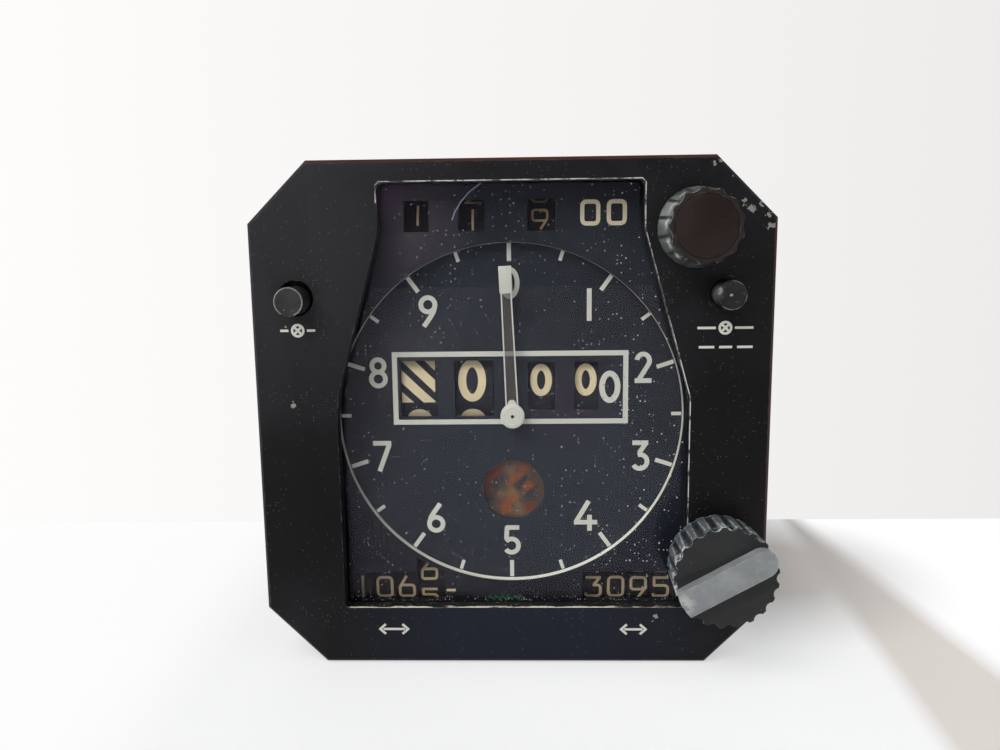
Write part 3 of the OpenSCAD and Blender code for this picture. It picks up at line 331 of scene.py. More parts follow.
def frontEdge(g, given):
    ragged = g.times(g.minus(g.noise(400, 5, 0.7), 0.5), 0.0022)
    nearFront = g.maths("LESS_THAN", g.axes()["Y"], g.plus(given["From"], ragged))
    kept = g.ramp(g.noise(190, 4), g.minus(given["Broken"], 0.08), g.plus(given["Broken"], 0.08))
    return [g.times(nearFront, kept)]


origin = (0, 0, 0)
makeGroup("edgeWear", edgeWear, ["Wear"], Radius=0.0005, Strength=6.0, Patchiness=0.5, Breakup=400.0)
makeGroup("chipSpot", chipSpot, ["Chip"], Centre=origin, Radius=0.0006)
makeGroup("softPatch", softPatch, ["Patch"], Centre=origin, Radius=0.01, Breakup=600.0, Raggedness=0.45)
makeGroup("fineGrain", fineGrain, ["Height", "Tone"], Scale=2500.0, Stretch=(1, 1, 1))
for name, flat in (("dustSpecks", False), ("flatSpecks", True)):
    makeGroup(name, lambda g, given: specks(g, given, flat), ["Specks"], Scale=900.0, Amount=0.1, Size=0.25,
        Clusters=0.0)
makeGroup("deepValley", deepValley, ["Valley"], Axis=origin, Valley=0.0098, Ridge=0.0104)
makeGroup("fluteLines", fluteLines, ["Line"], Axis=origin, Count=13.0, Cut=0.7)
makeGroup("frontEdge", frontEdge, ["Edge"], From=-0.0083, Broken=0.45)
makeGroup("stains", stains, ["Stain"], Scale=40.0, Cut=0.45, Softness=0.3)
makeGroup("scratches", scratches, ["Scratch"], Amount=0.5)
print("shader groups made:", len(groups))


def newFinish(name):
    finish = bpy.data.materials.new(name)
    finish.use_nodes = True
    return Graph(finish.node_tree), finish.node_tree.nodes["Principled BSDF"].inputs


# places and radii are in mm, edge wear radii in m. Tints, edge wear and rubbed patches are real colour and
# wear in some finishes and painted sheen, glints and shade in others; valleys and flute lines are painted
# shade.
def wornFinish(name, colour, second, roughness, metallic=0.0, wearColour=(0.4, 0.39, 0.37), wear=0.0,
        wearRadius=0.0004, wearMetal=0.6, patchiness=0.45, patchScale=500.0, specks=0.0, speckScale=900.0,
        speckColour=(0.5, 0.48, 0.44), speckSize=0.18, grainScale=2500.0, grain=0.05, stretch=(1, 1, 1),
        stainScale=45.0, stainCut=0.4, stainSoft=0.3, scratch=0.0, coat=0.0, specular=0.5, chips=(),
        rubbed=(), tints=(), tintRagged=0.0, valley=None, flutes=None, lowColour=(0.01, 0.01, 0.01),
        clusters=0.0, edge=None, edgeColour=(0.5, 0.48, 0.44), flatSpecks=False):
    g, shader = newFinish(name)
    fine = g.use("fineGrain", Scale=grainScale, Stretch=stretch)
    stain = g.stain(stainScale, stainCut, stainSoft)
    look = g.blend(g.times(g.plus(stain, fine["Tone"]), 0.5), colour, second)
    # tint patches: real colour in some finishes, painted sheen, reflection or shade in others
    for x, y, z, radius, tint in tints:
        look = g.blend(g.patch(x, y, z, radius, tintRagged, patchScale), look, tint)
    # painted shade in the hollows between the ridges
    if valley:
        x, z, low, high = valley
        deep = g.use("deepValley", Axis=scaled(x, 0, z), Valley=low * mm, Ridge=high * mm)
        look = g.blend(deep[0], look, lowColour)
    # painted shade: dark lines along the flute valleys
    if flutes:
        x, z, count, cut = flutes
        look = g.blend(g.use("fluteLines", Axis=scaled(x, 0, z), Count=count, Cut=cut)[0], look, lowColour)
    rough = g.plus(g.times(fine["Tone"], 0.16), roughness - 0.08)
    bareAndGlints = None
    # edge wear: real wear, and on the knob and collar rims painted highlight on the ridges
    if wear:
        bareAndGlints = g.use("edgeWear", Radius=wearRadius, Strength=wear, Patchiness=patchiness,
            Breakup=patchScale)[0]
    if scratch:
        bareAndGlints = g.most(bareAndGlints, g.times(g.use("scratches", Amount=scratch)[0], 0.7))
    for x, y, z, radius in chips:
        bareAndGlints = g.most(bareAndGlints, g.use("chipSpot", Centre=scaled(x, y, z), Radius=radius * mm)[0])
    # rubbed patches: worn spots, and on the knob and collar rims painted glints
    for place in rubbed:
        bareAndGlints = g.most(bareAndGlints, g.patch(*place, patchScale))
    if bareAndGlints is not None:
        look = g.blend(bareAndGlints, look, wearColour)
        if wearMetal and not metallic:
            g.feed(shader["Metallic"], g.times(bareAndGlints, wearMetal))
    if edge:
        start, broken = edge
        look = g.blend(g.use("frontEdge", From=start * mm, Broken=broken)[0], look, edgeColour)
    if specks:
        dust = g.use("flatSpecks" if flatSpecks else "dustSpecks", Scale=speckScale, Amount=specks,
            Size=speckSize, Clusters=clusters)[0]
        look = g.blend(dust, look, speckColour)
        rough = g.plus(rough, g.times(dust, 0.3), True)
    if metallic:
        g.feed(shader["Metallic"], metallic)
    if coat:
        g.feedAll(shader, {"Coat Weight": coat, "Coat Roughness": 0.15})
    g.feedAll(shader, {"Base Color": look, "Roughness": rough, "Specular IOR Level": specular,
        "Normal": g.bump(fine["Height"], grain, 0.0002)})


# finishes of the bezel, window and dial

enamel = {"colour": (0.003, 0.003, 0.0035), "second": (0.013, 0.013, 0.0155), "roughness": 0.44, "wear": 5,
    "wearRadius": 0.0003, "wearColour": (0.3, 0.29, 0.26), "patchiness": 0.53, "grainScale": 1500,
    "grain": 0.12, "specular": 0.15, "speckScale": 1700,
    "chips": [(-42.4, -9, 51.5, 0.5), (-45.3, -9, 3.7, 0.55), (46.2, -9, 43.7, 0.5), (47.5, -9, 42.3, 0.55),
        (49.9, -9, 43.6, 0.5), (51.1, -9, 41.2, 0.5), (51.9, -9, 38.9, 0.6), (41.5, -9, 51.9, 0.6),
        (40.1, -9, 51.2, 0.35), (44.4, -9, 49.0, 0.4), (52.9, -9, 24.0, 0.4), (30.1, -9, -42.9, 0.5),
        (-46.0, -9, 20.0, 0.2)],
    # painted light: a painted sheen lighter at the upper left, a bluish painted reflection along the bottom,
    # and painted shade darker at the lower left and on the right
    "tints": [(-46, -9, 38, 42, (0.021, 0.02, 0.023)), (2, -9, -48, 42, (0.009, 0.011, 0.021)),
        (-47, -9, -22, 24, (0.002, 0.0015, 0.0023)), (46, -9, -2, 26, (0.0025, 0.0019, 0.0025))]}
wornFinish("blackEnamel", **enamel, specks=0.1, speckSize=0.2, speckColour=(0.1, 0.098, 0.09), clusters=0.8)
wornFinish("frontEnamel", **enamel, specks=0.24, speckSize=0.15, speckColour=(0.13, 0.127, 0.12),
    clusters=0.9, flatSpecks=True)
wornFinish("brownEdge", (0.03, 0.009, 0.006), (0.07, 0.024, 0.017), 0.5, wear=4, wearRadius=0.0003,
    wearColour=(0.3, 0.2, 0.17), patchiness=0.5, grain=0.12, specular=0.15)
wornFinish("wornLip", (0.012, 0.012, 0.013), (0.03, 0.03, 0.03), 0.5, wear=20, wearColour=(0.36, 0.35, 0.32),
    patchiness=0.5, patchScale=400, specks=0.1, speckScale=1800, grain=0.3, specular=0.25)
# paleLip: pale worn paint on the window's top and bottom lips, and painted highlight on the right side's lip
# where light falls
wornFinish("paleLip", (0.14, 0.135, 0.125), (0.4, 0.39, 0.36), 0.6, wear=30, wearRadius=0.0005,
    wearColour=(0.8, 0.78, 0.74), wearMetal=0.0, patchiness=0.4, patchScale=420, stainScale=330,
    stainSoft=0.1, grain=0.3, specular=0.25)
wornFinish("dustyLip", (0.003, 0.003, 0.003), (0.01, 0.0095, 0.009), 0.6, specks=0.5, speckScale=1900,
    speckSize=0.28, speckColour=(0.42, 0.38, 0.3), edge=(-8.35, 0.43), edgeColour=(0.62, 0.59, 0.52),
    grain=0.3, specular=0.2)
wornFinish("blackRubber", (0.012, 0.012, 0.012), (0.022, 0.021, 0.02), 0.8, grain=0.2, grainScale=1500,
    specks=0.04)
# painted shade for the lower part of the mask
lowShade = (0.003, 0.0038, 0.0075)
plate = {"roughness": 0.75, "grain": 0.02, "specular": 0.2, "stainScale": 70}
# painted light: darker at the far left as a painted shadow of the bezel's left wall, lighter across the
# middle and lower middle as painted sheen; a lighter patch left of the counter and a violet patch right of
# the middle
wornFinish("dialPaint", (0.009, 0.0125, 0.017), (0.019, 0.025, 0.034), **plate, tints=[
    (-38, -2, 2, 12, (0.008, 0.009, 0.012)), (-21, -1, 12, 12, (0.027, 0.029, 0.035)),
    (6, -1, -12, 34, (0.0155, 0.022, 0.03)), (12, -1, 1, 10, (0.021, 0.0165, 0.027))])
# painted light: lowShade darkens the bottom as painted shade, the far left is darker as painted shadow, the
# upper left is lighter and violet as painted sheen with a stronger violet painted reflection in its corner,
# and the lower right is darker and bluer as painted shade
wornFinish("maskPaint", (0.007, 0.0095, 0.013), (0.016, 0.021, 0.028), **plate, tints=[
    (-34, -3, -36, 22, lowShade), (-12, -3, -47, 16, lowShade), (8, -3, -47, 18, lowShade),
    (33, -3, -42, 22, lowShade), (-38, -2, 2, 12, (0.008, 0.009, 0.012)),
    (-27, -3, 44, 21, (0.056, 0.045, 0.056)), (-26.5, -3, 46.5, 6, (0.09, 0.055, 0.095)),
    (36, -3, -22, 22, (0.005, 0.008, 0.015)), (34, -3, -34, 14, (0.004, 0.006, 0.012))])
for name, colour, second in (("drumBlack", (0.006, 0.005, 0.0045), (0.013, 0.0105, 0.009)),
        ("drumSlate", (0.011, 0.015, 0.02), (0.019, 0.024, 0.031))):
    wornFinish(name, colour, second, 0.75, grain=0.03, grainScale=2600, specks=0.02, speckScale=1800,
        specular=0.2)

# finishes of the inside and the rear

wornFinish("plateAluminium", (0.62, 0.62, 0.6), (0.48, 0.48, 0.47), 0.42, metallic=0.9, grain=0.1,
    grainScale=900, stretch=(1, 6, 6), scratch=0.25, wearColour=(0.75, 0.75, 0.73))
wornFinish("shaftSteel", (0.5, 0.51, 0.52), (0.36, 0.36, 0.37), 0.35, metallic=1.0, grain=0.08,
    grainScale=1500, stretch=(5, 1, 5))
wornFinish("pinionPlastic", (0.7, 0.67, 0.56), (0.6, 0.56, 0.46), 0.5, grainScale=1500)
wornFinish("motorSteel", (0.4, 0.4, 0.39), (0.28, 0.28, 0.28), 0.42, metallic=0.85, grain=0.12,
    grainScale=1200, stretch=(1, 8, 1))
wornFinish("capsuleBronze", (0.55, 0.42, 0.22), (0.36, 0.26, 0.13), 0.38, metallic=0.95, grain=0.08)
wornFinish("boardLaminate", (0.06, 0.16, 0.06), (0.09, 0.21, 0.08), 0.55, grain=0.15, grainScale=700,
    stretch=(1, 1, 12), coat=0.2)
wornFinish("switchPlastic", (0.03, 0.026, 0.022), (0.05, 0.042, 0.036), 0.5, grain=0.08)
wornFinish("unionSteel", (0.46, 0.46, 0.43), (0.3, 0.3, 0.28), 0.38, metallic=0.95, grain=0.1, wear=4,
    wearColour=(0.7, 0.7, 0.67), grainScale=1100, stretch=(1, 5, 1))
wornFinish("gearBrass", (0.66, 0.5, 0.22), (0.45, 0.32, 0.13), 0.34, metallic=1.0, grain=0.06, wear=4,
    wearColour=(0.85, 0.7, 0.4), wearRadius=0.0002)

# finishes of the knobs and buttons

wornFinish("knobPlastic", (0.009, 0.009, 0.01), (0.024, 0.025, 0.026), 0.5, wear=3, wearRadius=0.0003,
    wearColour=(0.26, 0.28, 0.28), wearMetal=0.2, patchiness=0.52, specks=0.05, speckScale=1900, grain=0.12,
    grainScale=1600, specular=0.3)
# painted light: the rim is lighter than the knob's face as a painted sheen, its edge wear and the rubbed
# patches on the left and top scallops are painted glints, and the valley is painted shade
wornFinish("knobRim", (0.05, 0.058, 0.066), (0.17, 0.195, 0.215), 0.33, valley=(42.4, -30.1, 9.85, 10.25),
    lowColour=(0.008, 0.009, 0.011), wear=14, wearRadius=0.0005, wearColour=(0.66, 0.7, 0.72), wearMetal=0.1,
    patchiness=0.44, patchScale=900, specks=0.3, speckScale=2200, stainScale=900, stainCut=0.42,
    stainSoft=0.25, grain=0.4, grainScale=1300, specular=0.8,
    rubbed=[(33.6, -18.6, -26.0, 3.4, 0.5), (32.2, -17, -31.5, 3.0, 0.52), (42.5, -18.6, -20.5, 3.6, 0.52),
        (35.0, -18.6, -37.6, 2.6, 0.46), (38.4, -18.6, -39.8, 2.4, 0.46), (33.0, -18.6, -34.6, 2.4, 0.44)])
# painted light: the tints light the rim's left and top side as painted highlight, the rubbed patches and edge
# wear are painted glints, and the flute lines are painted shade
wornFinish("collarRim", (0.006, 0.006, 0.007), (0.03, 0.031, 0.03), 0.32, wear=12, wearRadius=0.0005,
    wearColour=(0.6, 0.62, 0.6), wearMetal=0.1, patchiness=0.46, patchScale=700, stainScale=400, grain=0.2,
    grainScale=1300, specular=0.7, flutes=(37.1, 38.9, 13, 0.68), lowColour=(0.035, 0.038, 0.036),
    tints=[(28.6, -13, 42.2, 6.5, (0.27, 0.29, 0.28)), (28.6, -12, 34.5, 6.0, (0.15, 0.165, 0.16)),
        (33.8, -12, 31.0, 4.5, (0.08, 0.09, 0.085)), (35.5, -13, 47.5, 4.5, (0.12, 0.13, 0.125))],
    rubbed=[(30.2, -15.4, 43.0, 1.9, 0.44), (29.9, -15.4, 39.3, 1.5, 0.44), (30.3, -15, 35.6, 1.6, 0.46),
        (31.6, -14.5, 32.8, 1.6, 0.46), (32.6, -15.2, 45.6, 1.5, 0.46)])
wornFinish("collarFront", (0.012, 0.007, 0.006), (0.022, 0.014, 0.011), 0.5, wear=5, wearRadius=0.0003,
    wearColour=(0.2, 0.19, 0.18), patchiness=0.52, grain=0.1, specular=0.25)
button = {"wearMetal": 0.1, "patchScale": 450, "speckScale": 2600, "stainScale": 350, "grain": 0.2,
    "grainScale": 1400}
wornFinish("leftButtonPlastic", (0.01, 0.0095, 0.0095), (0.032, 0.03, 0.028), 0.42, **button, wear=24,
    wearColour=(0.36, 0.36, 0.35), patchiness=0.38, specks=0.3, specular=0.35)
# the barrel's left side and its left rim are lighter: real wear, and painted highlight where light falls on
# that side; the chip is real
wornFinish("rightButtonPlastic", (0.004, 0.004, 0.005), (0.014, 0.014, 0.016), 0.45, **button, wear=12,
    wearRadius=0.0003, wearColour=(0.3, 0.31, 0.31), patchiness=0.47, specks=0.5, speckColour=(0.2, 0.2, 0.2),
    specular=0.3, tints=[(39.0, -12.3, 26.2, 3.2, (0.11, 0.118, 0.115))],
    rubbed=[(40.3, -14.2, 26.6, 1.0, 0.42)], chips=[(42.9, -14.1, 25.8, 0.25)])
wornFinish("knobBar", (0.165, 0.178, 0.185), (0.275, 0.288, 0.29), 0.5, wear=4, wearColour=(0.46, 0.46, 0.44),
    scratch=0.3, specks=0.12, speckScale=1600, speckColour=(0.09, 0.09, 0.08), stainScale=260, grain=0.2,
    grainScale=1000, stretch=(3, 1, 1), patchScale=700, rubbed=[(33.5, -20.5, -34.6, 2.8, 0.46)])

# paints of numbers and marks

paint = {"grain": 0.1, "specular": 0.3}
wornFinish("offWhitePaint", (0.57, 0.56, 0.5), (0.64, 0.63, 0.565), 0.65, **paint, specks=0.04,
    speckScale=2200, speckColour=(0.2, 0.2, 0.18))
# painted light: the lower half of the ring is lighter where light falls on the aperture wall
wornFinish("ringPaint", (0.34, 0.335, 0.3), (0.44, 0.43, 0.39), 0.65, **paint,
    tints=[(8, -2, -50, 85, (0.74, 0.72, 0.64))])
wornFinish("zeroPaint", (0.66, 0.56, 0.39), (0.74, 0.64, 0.46), 0.65, **paint)
wornFinish("creamPaint", (0.74, 0.6, 0.37), (0.8, 0.68, 0.46), 0.65, **paint)
wornFinish("tanPaint", (0.5, 0.38, 0.22), (0.62, 0.5, 0.31), 0.65, **paint)
wornFinish("paleGoldPaint", (0.5, 0.4, 0.22), (0.66, 0.55, 0.34), 0.6, **paint)
wornFinish("goldPaint", (0.42, 0.27, 0.12), (0.58, 0.4, 0.2), 0.6, **paint)
wornFinish("hairBlue", (0.12, 0.145, 0.24), (0.2, 0.235, 0.35), 0.6)
wornFinish("greenMark", (0.01, 0.1, 0.03), (0.02, 0.16, 0.05), 0.6, grain=0.1)
# painted shade: near black for the pit in the pointer's hub
wornFinish("darkPit", (0.008, 0.008, 0.008), (0.015, 0.014, 0.013), 0.8)
wornFinish("bladeFilm", (0.095, 0.08, 0.073), (0.125, 0.108, 0.1), 0.35, specks=0.03)
bpy.data.materials["bladeFilm"].node_tree.nodes["Principled BSDF"].inputs["Alpha"].default_value = 0.33

flagLook = {"centre": (-0.2, 1, -17.1), "radius": 5.9, "spread": 1.25,
    "colours": {"orange": (0.22, 0.056, 0.01), "red": (0.14, 0.025, 0.012), "beige": (0.145, 0.09, 0.05),
        "brown": (0.065, 0.038, 0.022), "grey": (0.022, 0.026, 0.03), "sand": (0.19, 0.105, 0.03)}}
# colour, place across and up and size, all in shares of the flag's radius
flagPatches = [("brown", -0.1, 0.0, 1.3), ("red", -0.75, -0.1, 0.4), ("brown", -0.55, -0.45, 0.5),
    ("beige", -0.02, 0.72, 0.42), ("beige", 0.12, 0.5, 0.25), ("red", -0.62, 0.68, 0.34),
    ("red", -0.86, 0.42, 0.25), ("beige", 0.15, -0.55, 0.5), ("beige", 0.38, -0.8, 0.35),
    ("sand", 0.0, -0.15, 0.3), ("beige", -0.2, 0.02, 0.22), ("beige", -0.42, -0.18, 0.18),
    ("grey", -0.66, 0.12, 0.26), ("grey", -0.5, 0.3, 0.24), ("grey", -0.3, 0.42, 0.2),
    ("brown", -0.3, 0.1, 0.2), ("grey", 0.2, 0.1, 0.17), ("grey", 0.32, 0.28, 0.2), ("grey", 0.5, 0.44, 0.2),
    ("grey", 0.5, -0.42, 0.2), ("grey", 0.68, -0.22, 0.26), ("grey", 0.86, -0.02, 0.2),
    ("grey", -0.9, -0.35, 0.26), ("orange", 0.42, 0.78, 0.24), ("orange", 0.27, 0.62, 0.2),
    ("orange", 0.1, 0.46, 0.2), ("orange", -0.05, 0.3, 0.16), ("sand", -0.16, 0.2, 0.1),
    ("orange", -0.22, -0.64, 0.26), ("orange", -0.02, -0.42, 0.22), ("orange", -0.3, -0.8, 0.2),
    ("orange", 0.66, 0.2, 0.2), ("orange", 0.5, 0.06, 0.18), ("brown", 0.3, -0.08, 0.16),
    ("brown", 0.8, 0.42, 0.25), ("red", 0.6, -0.68, 0.26)]
flagX, flagY, flagZ = flagLook["centre"]
reach, spread = flagLook["radius"], flagLook["spread"]
flagTints = [(flagX + across * reach, flagY, flagZ + up * reach, size * reach * spread,
    flagLook["colours"][name]) for name, across, up, size in flagPatches]
wornFinish("flagBands", (0.06, 0.038, 0.026), (0.1, 0.068, 0.045), 0.6, stainScale=300, grain=0.1,
    patchScale=640, tints=flagTints, tintRagged=0.42, specks=0.2, speckScale=1300, speckSize=0.2,
    speckColour=(0.4, 0.37, 0.32), specular=0.3)

# clear, dusty and glowing finishes

g, shader = newFinish("clearGlass")
shade = g.times(g.put("LightPath").outputs["Is Shadow Ray"], 0.92)
g.feedAll(shader, {"Transmission Weight": 1.0, "IOR": 1.45, "Specular Tint": (0.26, 0.23, 0.29),
    "Roughness": 0.0, "Base Color": g.blend(g.stain(55, 0.4, 0.4), (0.96, 0.97, 0.97), (0.9, 0.92, 0.93)),
    "Alpha": g.rest(shade)})

g, shader = newFinish("glassDust")
fine = g.use("flatSpecks", Scale=1150, Amount=0.3, Size=0.19, Clusters=0.7)[0]
large = g.use("flatSpecks", Scale=480, Amount=0.1, Size=0.1, Clusters=0.4)[0]
crumbs = g.use("flatSpecks", Scale=1800, Amount=0.42, Size=0.2)[0]
parts = g.axes()
rightward = g.ramp(parts["X"], 0.008, 0.034)
downward = g.ramp(parts["Z"], -0.0385, -0.0405)
dust = g.times(g.most(fine, large), g.plus(g.times(rightward, 0.8), 0.22), True)
g.feedAll(shader, {"Alpha": g.times(g.most(dust, g.times(crumbs, downward)), 0.75, True), "Roughness": 0.9,
    "Base Color": g.blend(g.stain(35, 0.42, 0.3), (0.72, 0.73, 0.74), (0.82, 0.82, 0.8))})

g, shader = newFinish("amberLens")
cloud = g.stain(160, 0.35, 0.4)
dust = g.use("dustSpecks", Scale=1500, Amount=0.08, Size=0.2)[0]
look = g.blend(cloud, (0.009, 0.0035, 0.0025), (0.019, 0.008, 0.0055))
ribs = g.put("TexWave", {"Vector": g.place(), "Scale": 420}, bands_direction="X").outputs["Fac"]
g.feedAll(shader, {"Base Color": g.blend(g.times(dust, 0.25), look, (0.15, 0.11, 0.09)),
    "Specular IOR Level": 0.25, "Roughness": g.plus(g.times(cloud, 0.2), 0.4),
    "Normal": g.bump(ribs, 0.05, 0.0001)})

g, shader = newFinish("frostedLamp")
cloud = g.stain(300, 0.4, 0.4)
g.feedAll(shader, {"Transmission Weight": 0.6, "Roughness": g.plus(g.times(cloud, 0.2), 0.3),
    "Base Color": g.blend(cloud, (0.85, 0.8, 0.62), (0.7, 0.64, 0.5))})

# pale broken paint for the line along the window's edge: worn paint, and painted highlight where it runs down
# the right side
g, shader = newFinish("scuffPaint")
fine, broad = g.stain(520, 0.38, 0.12), g.stain(85, 0.36, 0.16)
g.feedAll(shader, {"Base Color": g.blend(fine, (0.19, 0.19, 0.18), (0.62, 0.61, 0.58)),
    "Alpha": g.times(g.plus(g.times(fine, 0.6), 0.3), g.plus(broad, 0.15, True)),
    "Roughness": g.plus(g.times(fine, 0.2), 0.5)})

otherNames = {"lamp_glass": "frostedLamp", "lens_amber": "amberLens", "pointer_enamel": "offWhitePaint",
    "flag_paint": "flagBands"}


# black_enamel gets blackEnamel, and so on, apart from the slots in otherNames
def finishFor(slotName):
    first, *rest = slotName.split("_")
    return otherNames.get(slotName, first + "".join(word.capitalize() for word in rest))


for node, piece in cad.items():
    for place in piece.material_slots:
        name = "drumSlate" if node in ("tens_drum", "hundreds_drum", "thousands_drum", "ten_thousands_drum") \
            else finishFor(place.material.name.split(".")[0])
        place.material = bpy.data.materials[name]
print("finishes given to every node")


# bezel, knobs, buttons and case from the solids

# window: half its width low and high with the shoulder between, and its lower and upper edges
bezelLook = {"edge": 0.35, "face": -8.9, "lip": -8.6, "sides": -8.2, "brownFrom": 52.4, "brownLeft": -20,
    "window": (37.6, 28.2, 39.5, -41.8, 49.4), "windowDepths": (-8.97, -5.8), "sill": -39.8,
    "paleMiddle": (4, 44), "paleRight": 26}


# 0 blackEnamel, 1 wornLip, 2 paleLip, 3 dustyLip, 4 brownEdge, 5 frontEnamel
def bezelFinish(x, y, z, normal):
    look = bezelLook
    halfLow, halfHigh, shoulder, low, high = look["window"]
    inWindow = abs(x) < halfLow and low < z < high and (abs(x) < halfHigh or z < shoulder)
    if inWindow and look["windowDepths"][0] < y < look["windowDepths"][1]:
        if y > look["lip"]:
            return 3 if z < look["sill"] else 0
        middle, reach = look["paleMiddle"]
        # pale lip at the top and bottom, and at the upper right as painted highlight; dark worn lip elsewhere
        return 2 if abs(z - middle) > reach or x > look["paleRight"] and z > middle else 1
    onTop = z > look["brownFrom"] and x > look["brownLeft"] and normal.z > 0.3
    if y < look["sides"] and (onTop or x > look["brownFrom"] and normal.x > 0.3):
        return 4
    return 5 if y < look["face"] and normal.y < -0.9 else 0


bezel = castingFrom("bezel", "bezelCasting", bezelLook["edge"], segments=3)
fitTo(bezel, "case", "black_enamel", "blackEnamel", "wornLip", "paleLip", "dustyLip", "brownEdge",
    "frontEnamel")
for face in bezel.data.polygons:
    face.material_index = bezelFinish(*(face.center / mm), face.normal)

knobLook = {"edge": 0.28, "rimRadius": 8.9, "barFront": -18.95, "centre": (42.4, -30.1)}
collarLook = {"edge": 0.22, "rimRadius": 6.2, "centre": (37.1, 38.9), "foot": -9.6, "length": 8.0,
    "bore": 6.25, "flare": 0.045}


def fromAxis(place, look):
    return Vector((place.x / mm - look["centre"][0], place.z / mm - look["centre"][1]))


knob = castingFrom("pressure_knob", "settingKnob", knobLook["edge"])
fitTo(knob, bodyOf["pressure_knob"], "knob_plastic", "knobPlastic", "knobRim", "knobBar")
for face in knob.data.polygons:
    if face.center.y / mm < knobLook["barFront"]:
        face.material_index = 2
    elif fromAxis(face.center, knobLook).length > knobLook["rimRadius"]:
        face.material_index = 1

collar = castingFrom("selector_collar", "flutedCollar", collarLook["edge"])
axisX, axisZ = collarLook["centre"]
for point in collar.data.vertices:
    away = fromAxis(point.co, collarLook)
    reach = max(0.0, (collarLook["foot"] - point.co.y / mm) / collarLook["length"])
    if away.length > collarLook["bore"]:
        away *= 1 + collarLook["flare"] * reach
        point.co.x, point.co.z = (away.x + axisX) * mm, (away.y + axisZ) * mm
fitTo(collar, bodyOf["selector_collar"], "knob_plastic", "knobPlastic", "collarRim", "collarFront")
for face in collar.data.polygons:
    if face.normal.y < -0.8:
        face.material_index = 2
    elif fromAxis(face.center, collarLook).length > collarLook["rimRadius"]:
        face.material_index = 1

lensLook = {"edge": 0.12, "spread": 1.043, "centre": (37.1, 0, 38.9)}
lens = castingFrom("alert_lens", "alertLens", lensLook["edge"], smooth=40)
lensAxis = Matrix.Translation(Vector(lensLook["centre"]) * mm)
wider = Matrix.Diagonal((lensLook["spread"], 1, lensLook["spread"], 1))
lens.data.transform(lensAxis @ wider @ lensAxis.inverted())
fitTo(lens, "case", "lens_amber", "amberLens")

maskEdges = {"windowLow": -43.0, "shownLow": -41.45}
mask = castingFrom("dial_mask", "maskPlate", 0)
for point in mask.data.vertices:
    if abs(point.co.z / mm - maskEdges["windowLow"]) < 0.05:
        point.co.z = maskEdges["shownLow"] * mm
fitTo(mask, "case", "dial_paint", "maskPaint")

for node, name, finishName in (("test_button", "leftButton", "leftButtonPlastic"),
        ("cancel_button", "rightButton", "rightButtonPlastic")):
    fitTo(castingFrom(node, name, 0.3, smooth=50, segments=3), bodyOf[node], "knob_plastic", finishName)
for node, name, width, slotName in (("case_shell", "caseShell", 0.4, "black_enamel"),
        ("rear_cover", "rearCover", 0.35, "black_enamel"),
        ("cover_screws", "coverScrews", 0.15, "shaft_steel"),
        ("static_union", "staticUnion", 0.2, "union_steel"),
        ("connector_shell", "connectorShell", 0.25, "union_steel")):
    fitTo(castingFrom(node, name, width), "case", slotName, finishFor(slotName))
print("castings rounded")


# signs: strokes are lists of places in mm, and a Loop is a closed one

class Loop(list):
    pass


def arc(cx, cy, rx, ry, start, end, steps=24):
    angles = [math.radians(start + (end - start) * i / steps) for i in range(steps + 1)]
    return [(cx + rx * math.cos(angle), cy + ry * math.sin(angle)) for angle in angles]


def ringAround(radius):
    return arc(0, 0, radius, radius, 0, 352.5, 48)


def softened(points, radius, steps=5):
    out = type(points)()
    count = len(points)
    for i, point in enumerate(points):
        here = Vector(point)
        if not isinstance(points, Loop) and i in (0, count - 1):
            out.append(tuple(here))
            continue
        back = Vector(points[i - 1]) - here
        ahead = Vector(points[(i + 1) % count]) - here
        cut = min(radius, back.length * 0.49, ahead.length * 0.49)
        first = here + back.normalized() * cut
        last = here + ahead.normalized() * cut
        for k in range(steps + 1):
            t = k / steps
            out.append(tuple(first * (1 - t) ** 2 + here * 2 * t * (1 - t) + last * t * t))
    return out


def strokeSides(points, width):
    left, right = [], []
    count = len(points)
    closed = isinstance(points, Loop)
    for i, point in enumerate(points):
        here = Vector(point)
        into = here - Vector(points[i - 1]) if closed or i else None
        away = Vector(points[(i + 1) % count]) - here if closed or i < count - 1 else None
        into = (into or away).normalized()
        away = (away or into).normalized()
        middle = (into + away).normalized()
        across = Vector((-middle.y, middle.x))
        reach = width / 2 / max(0.5, across.dot(Vector((-into.y, into.x))))
        left.append(tuple(here + across * reach))
        right.append(tuple(here - across * reach))
    return left, right


def filledShape(loops, thickness, name="outline"):
    curve = bpy.data.curves.new("outline", "CURVE")
    curve.dimensions = "2D"
    curve.fill_mode = "BOTH"
    curve.extrude = thickness / 2
    for loop in loops:
        spline = curve.splines.new("POLY")
        spline.points.add(len(loop) - 1)
        for target, place in zip(spline.points, loop):
            target.co = (*place, 0, 1)
        spline.use_cyclic_u = True
    pickUp(newObject(name, curve))
    bpy.ops.object.convert(target="MESH")
    piece = bpy.context.object
    editAll(piece)
    bpy.ops.mesh.remove_doubles(threshold=0.0005)
    bpy.ops.mesh.normals_make_consistent(inside=False)
    setMode("OBJECT")
    return piece


# each stroke is a little thicker than the one before, so that none share a face
def drawnSign(name, strokes, width, thickness=0.05):
    parts = []
    for i, points in enumerate(strokes):
        left, right = strokeSides(points, width)
        loops = [left, right] if isinstance(points, Loop) else [left + right[::-1]]
        parts.append(filledShape(loops, thickness + 0.012 * i))
    return joinPieces(parts, name)


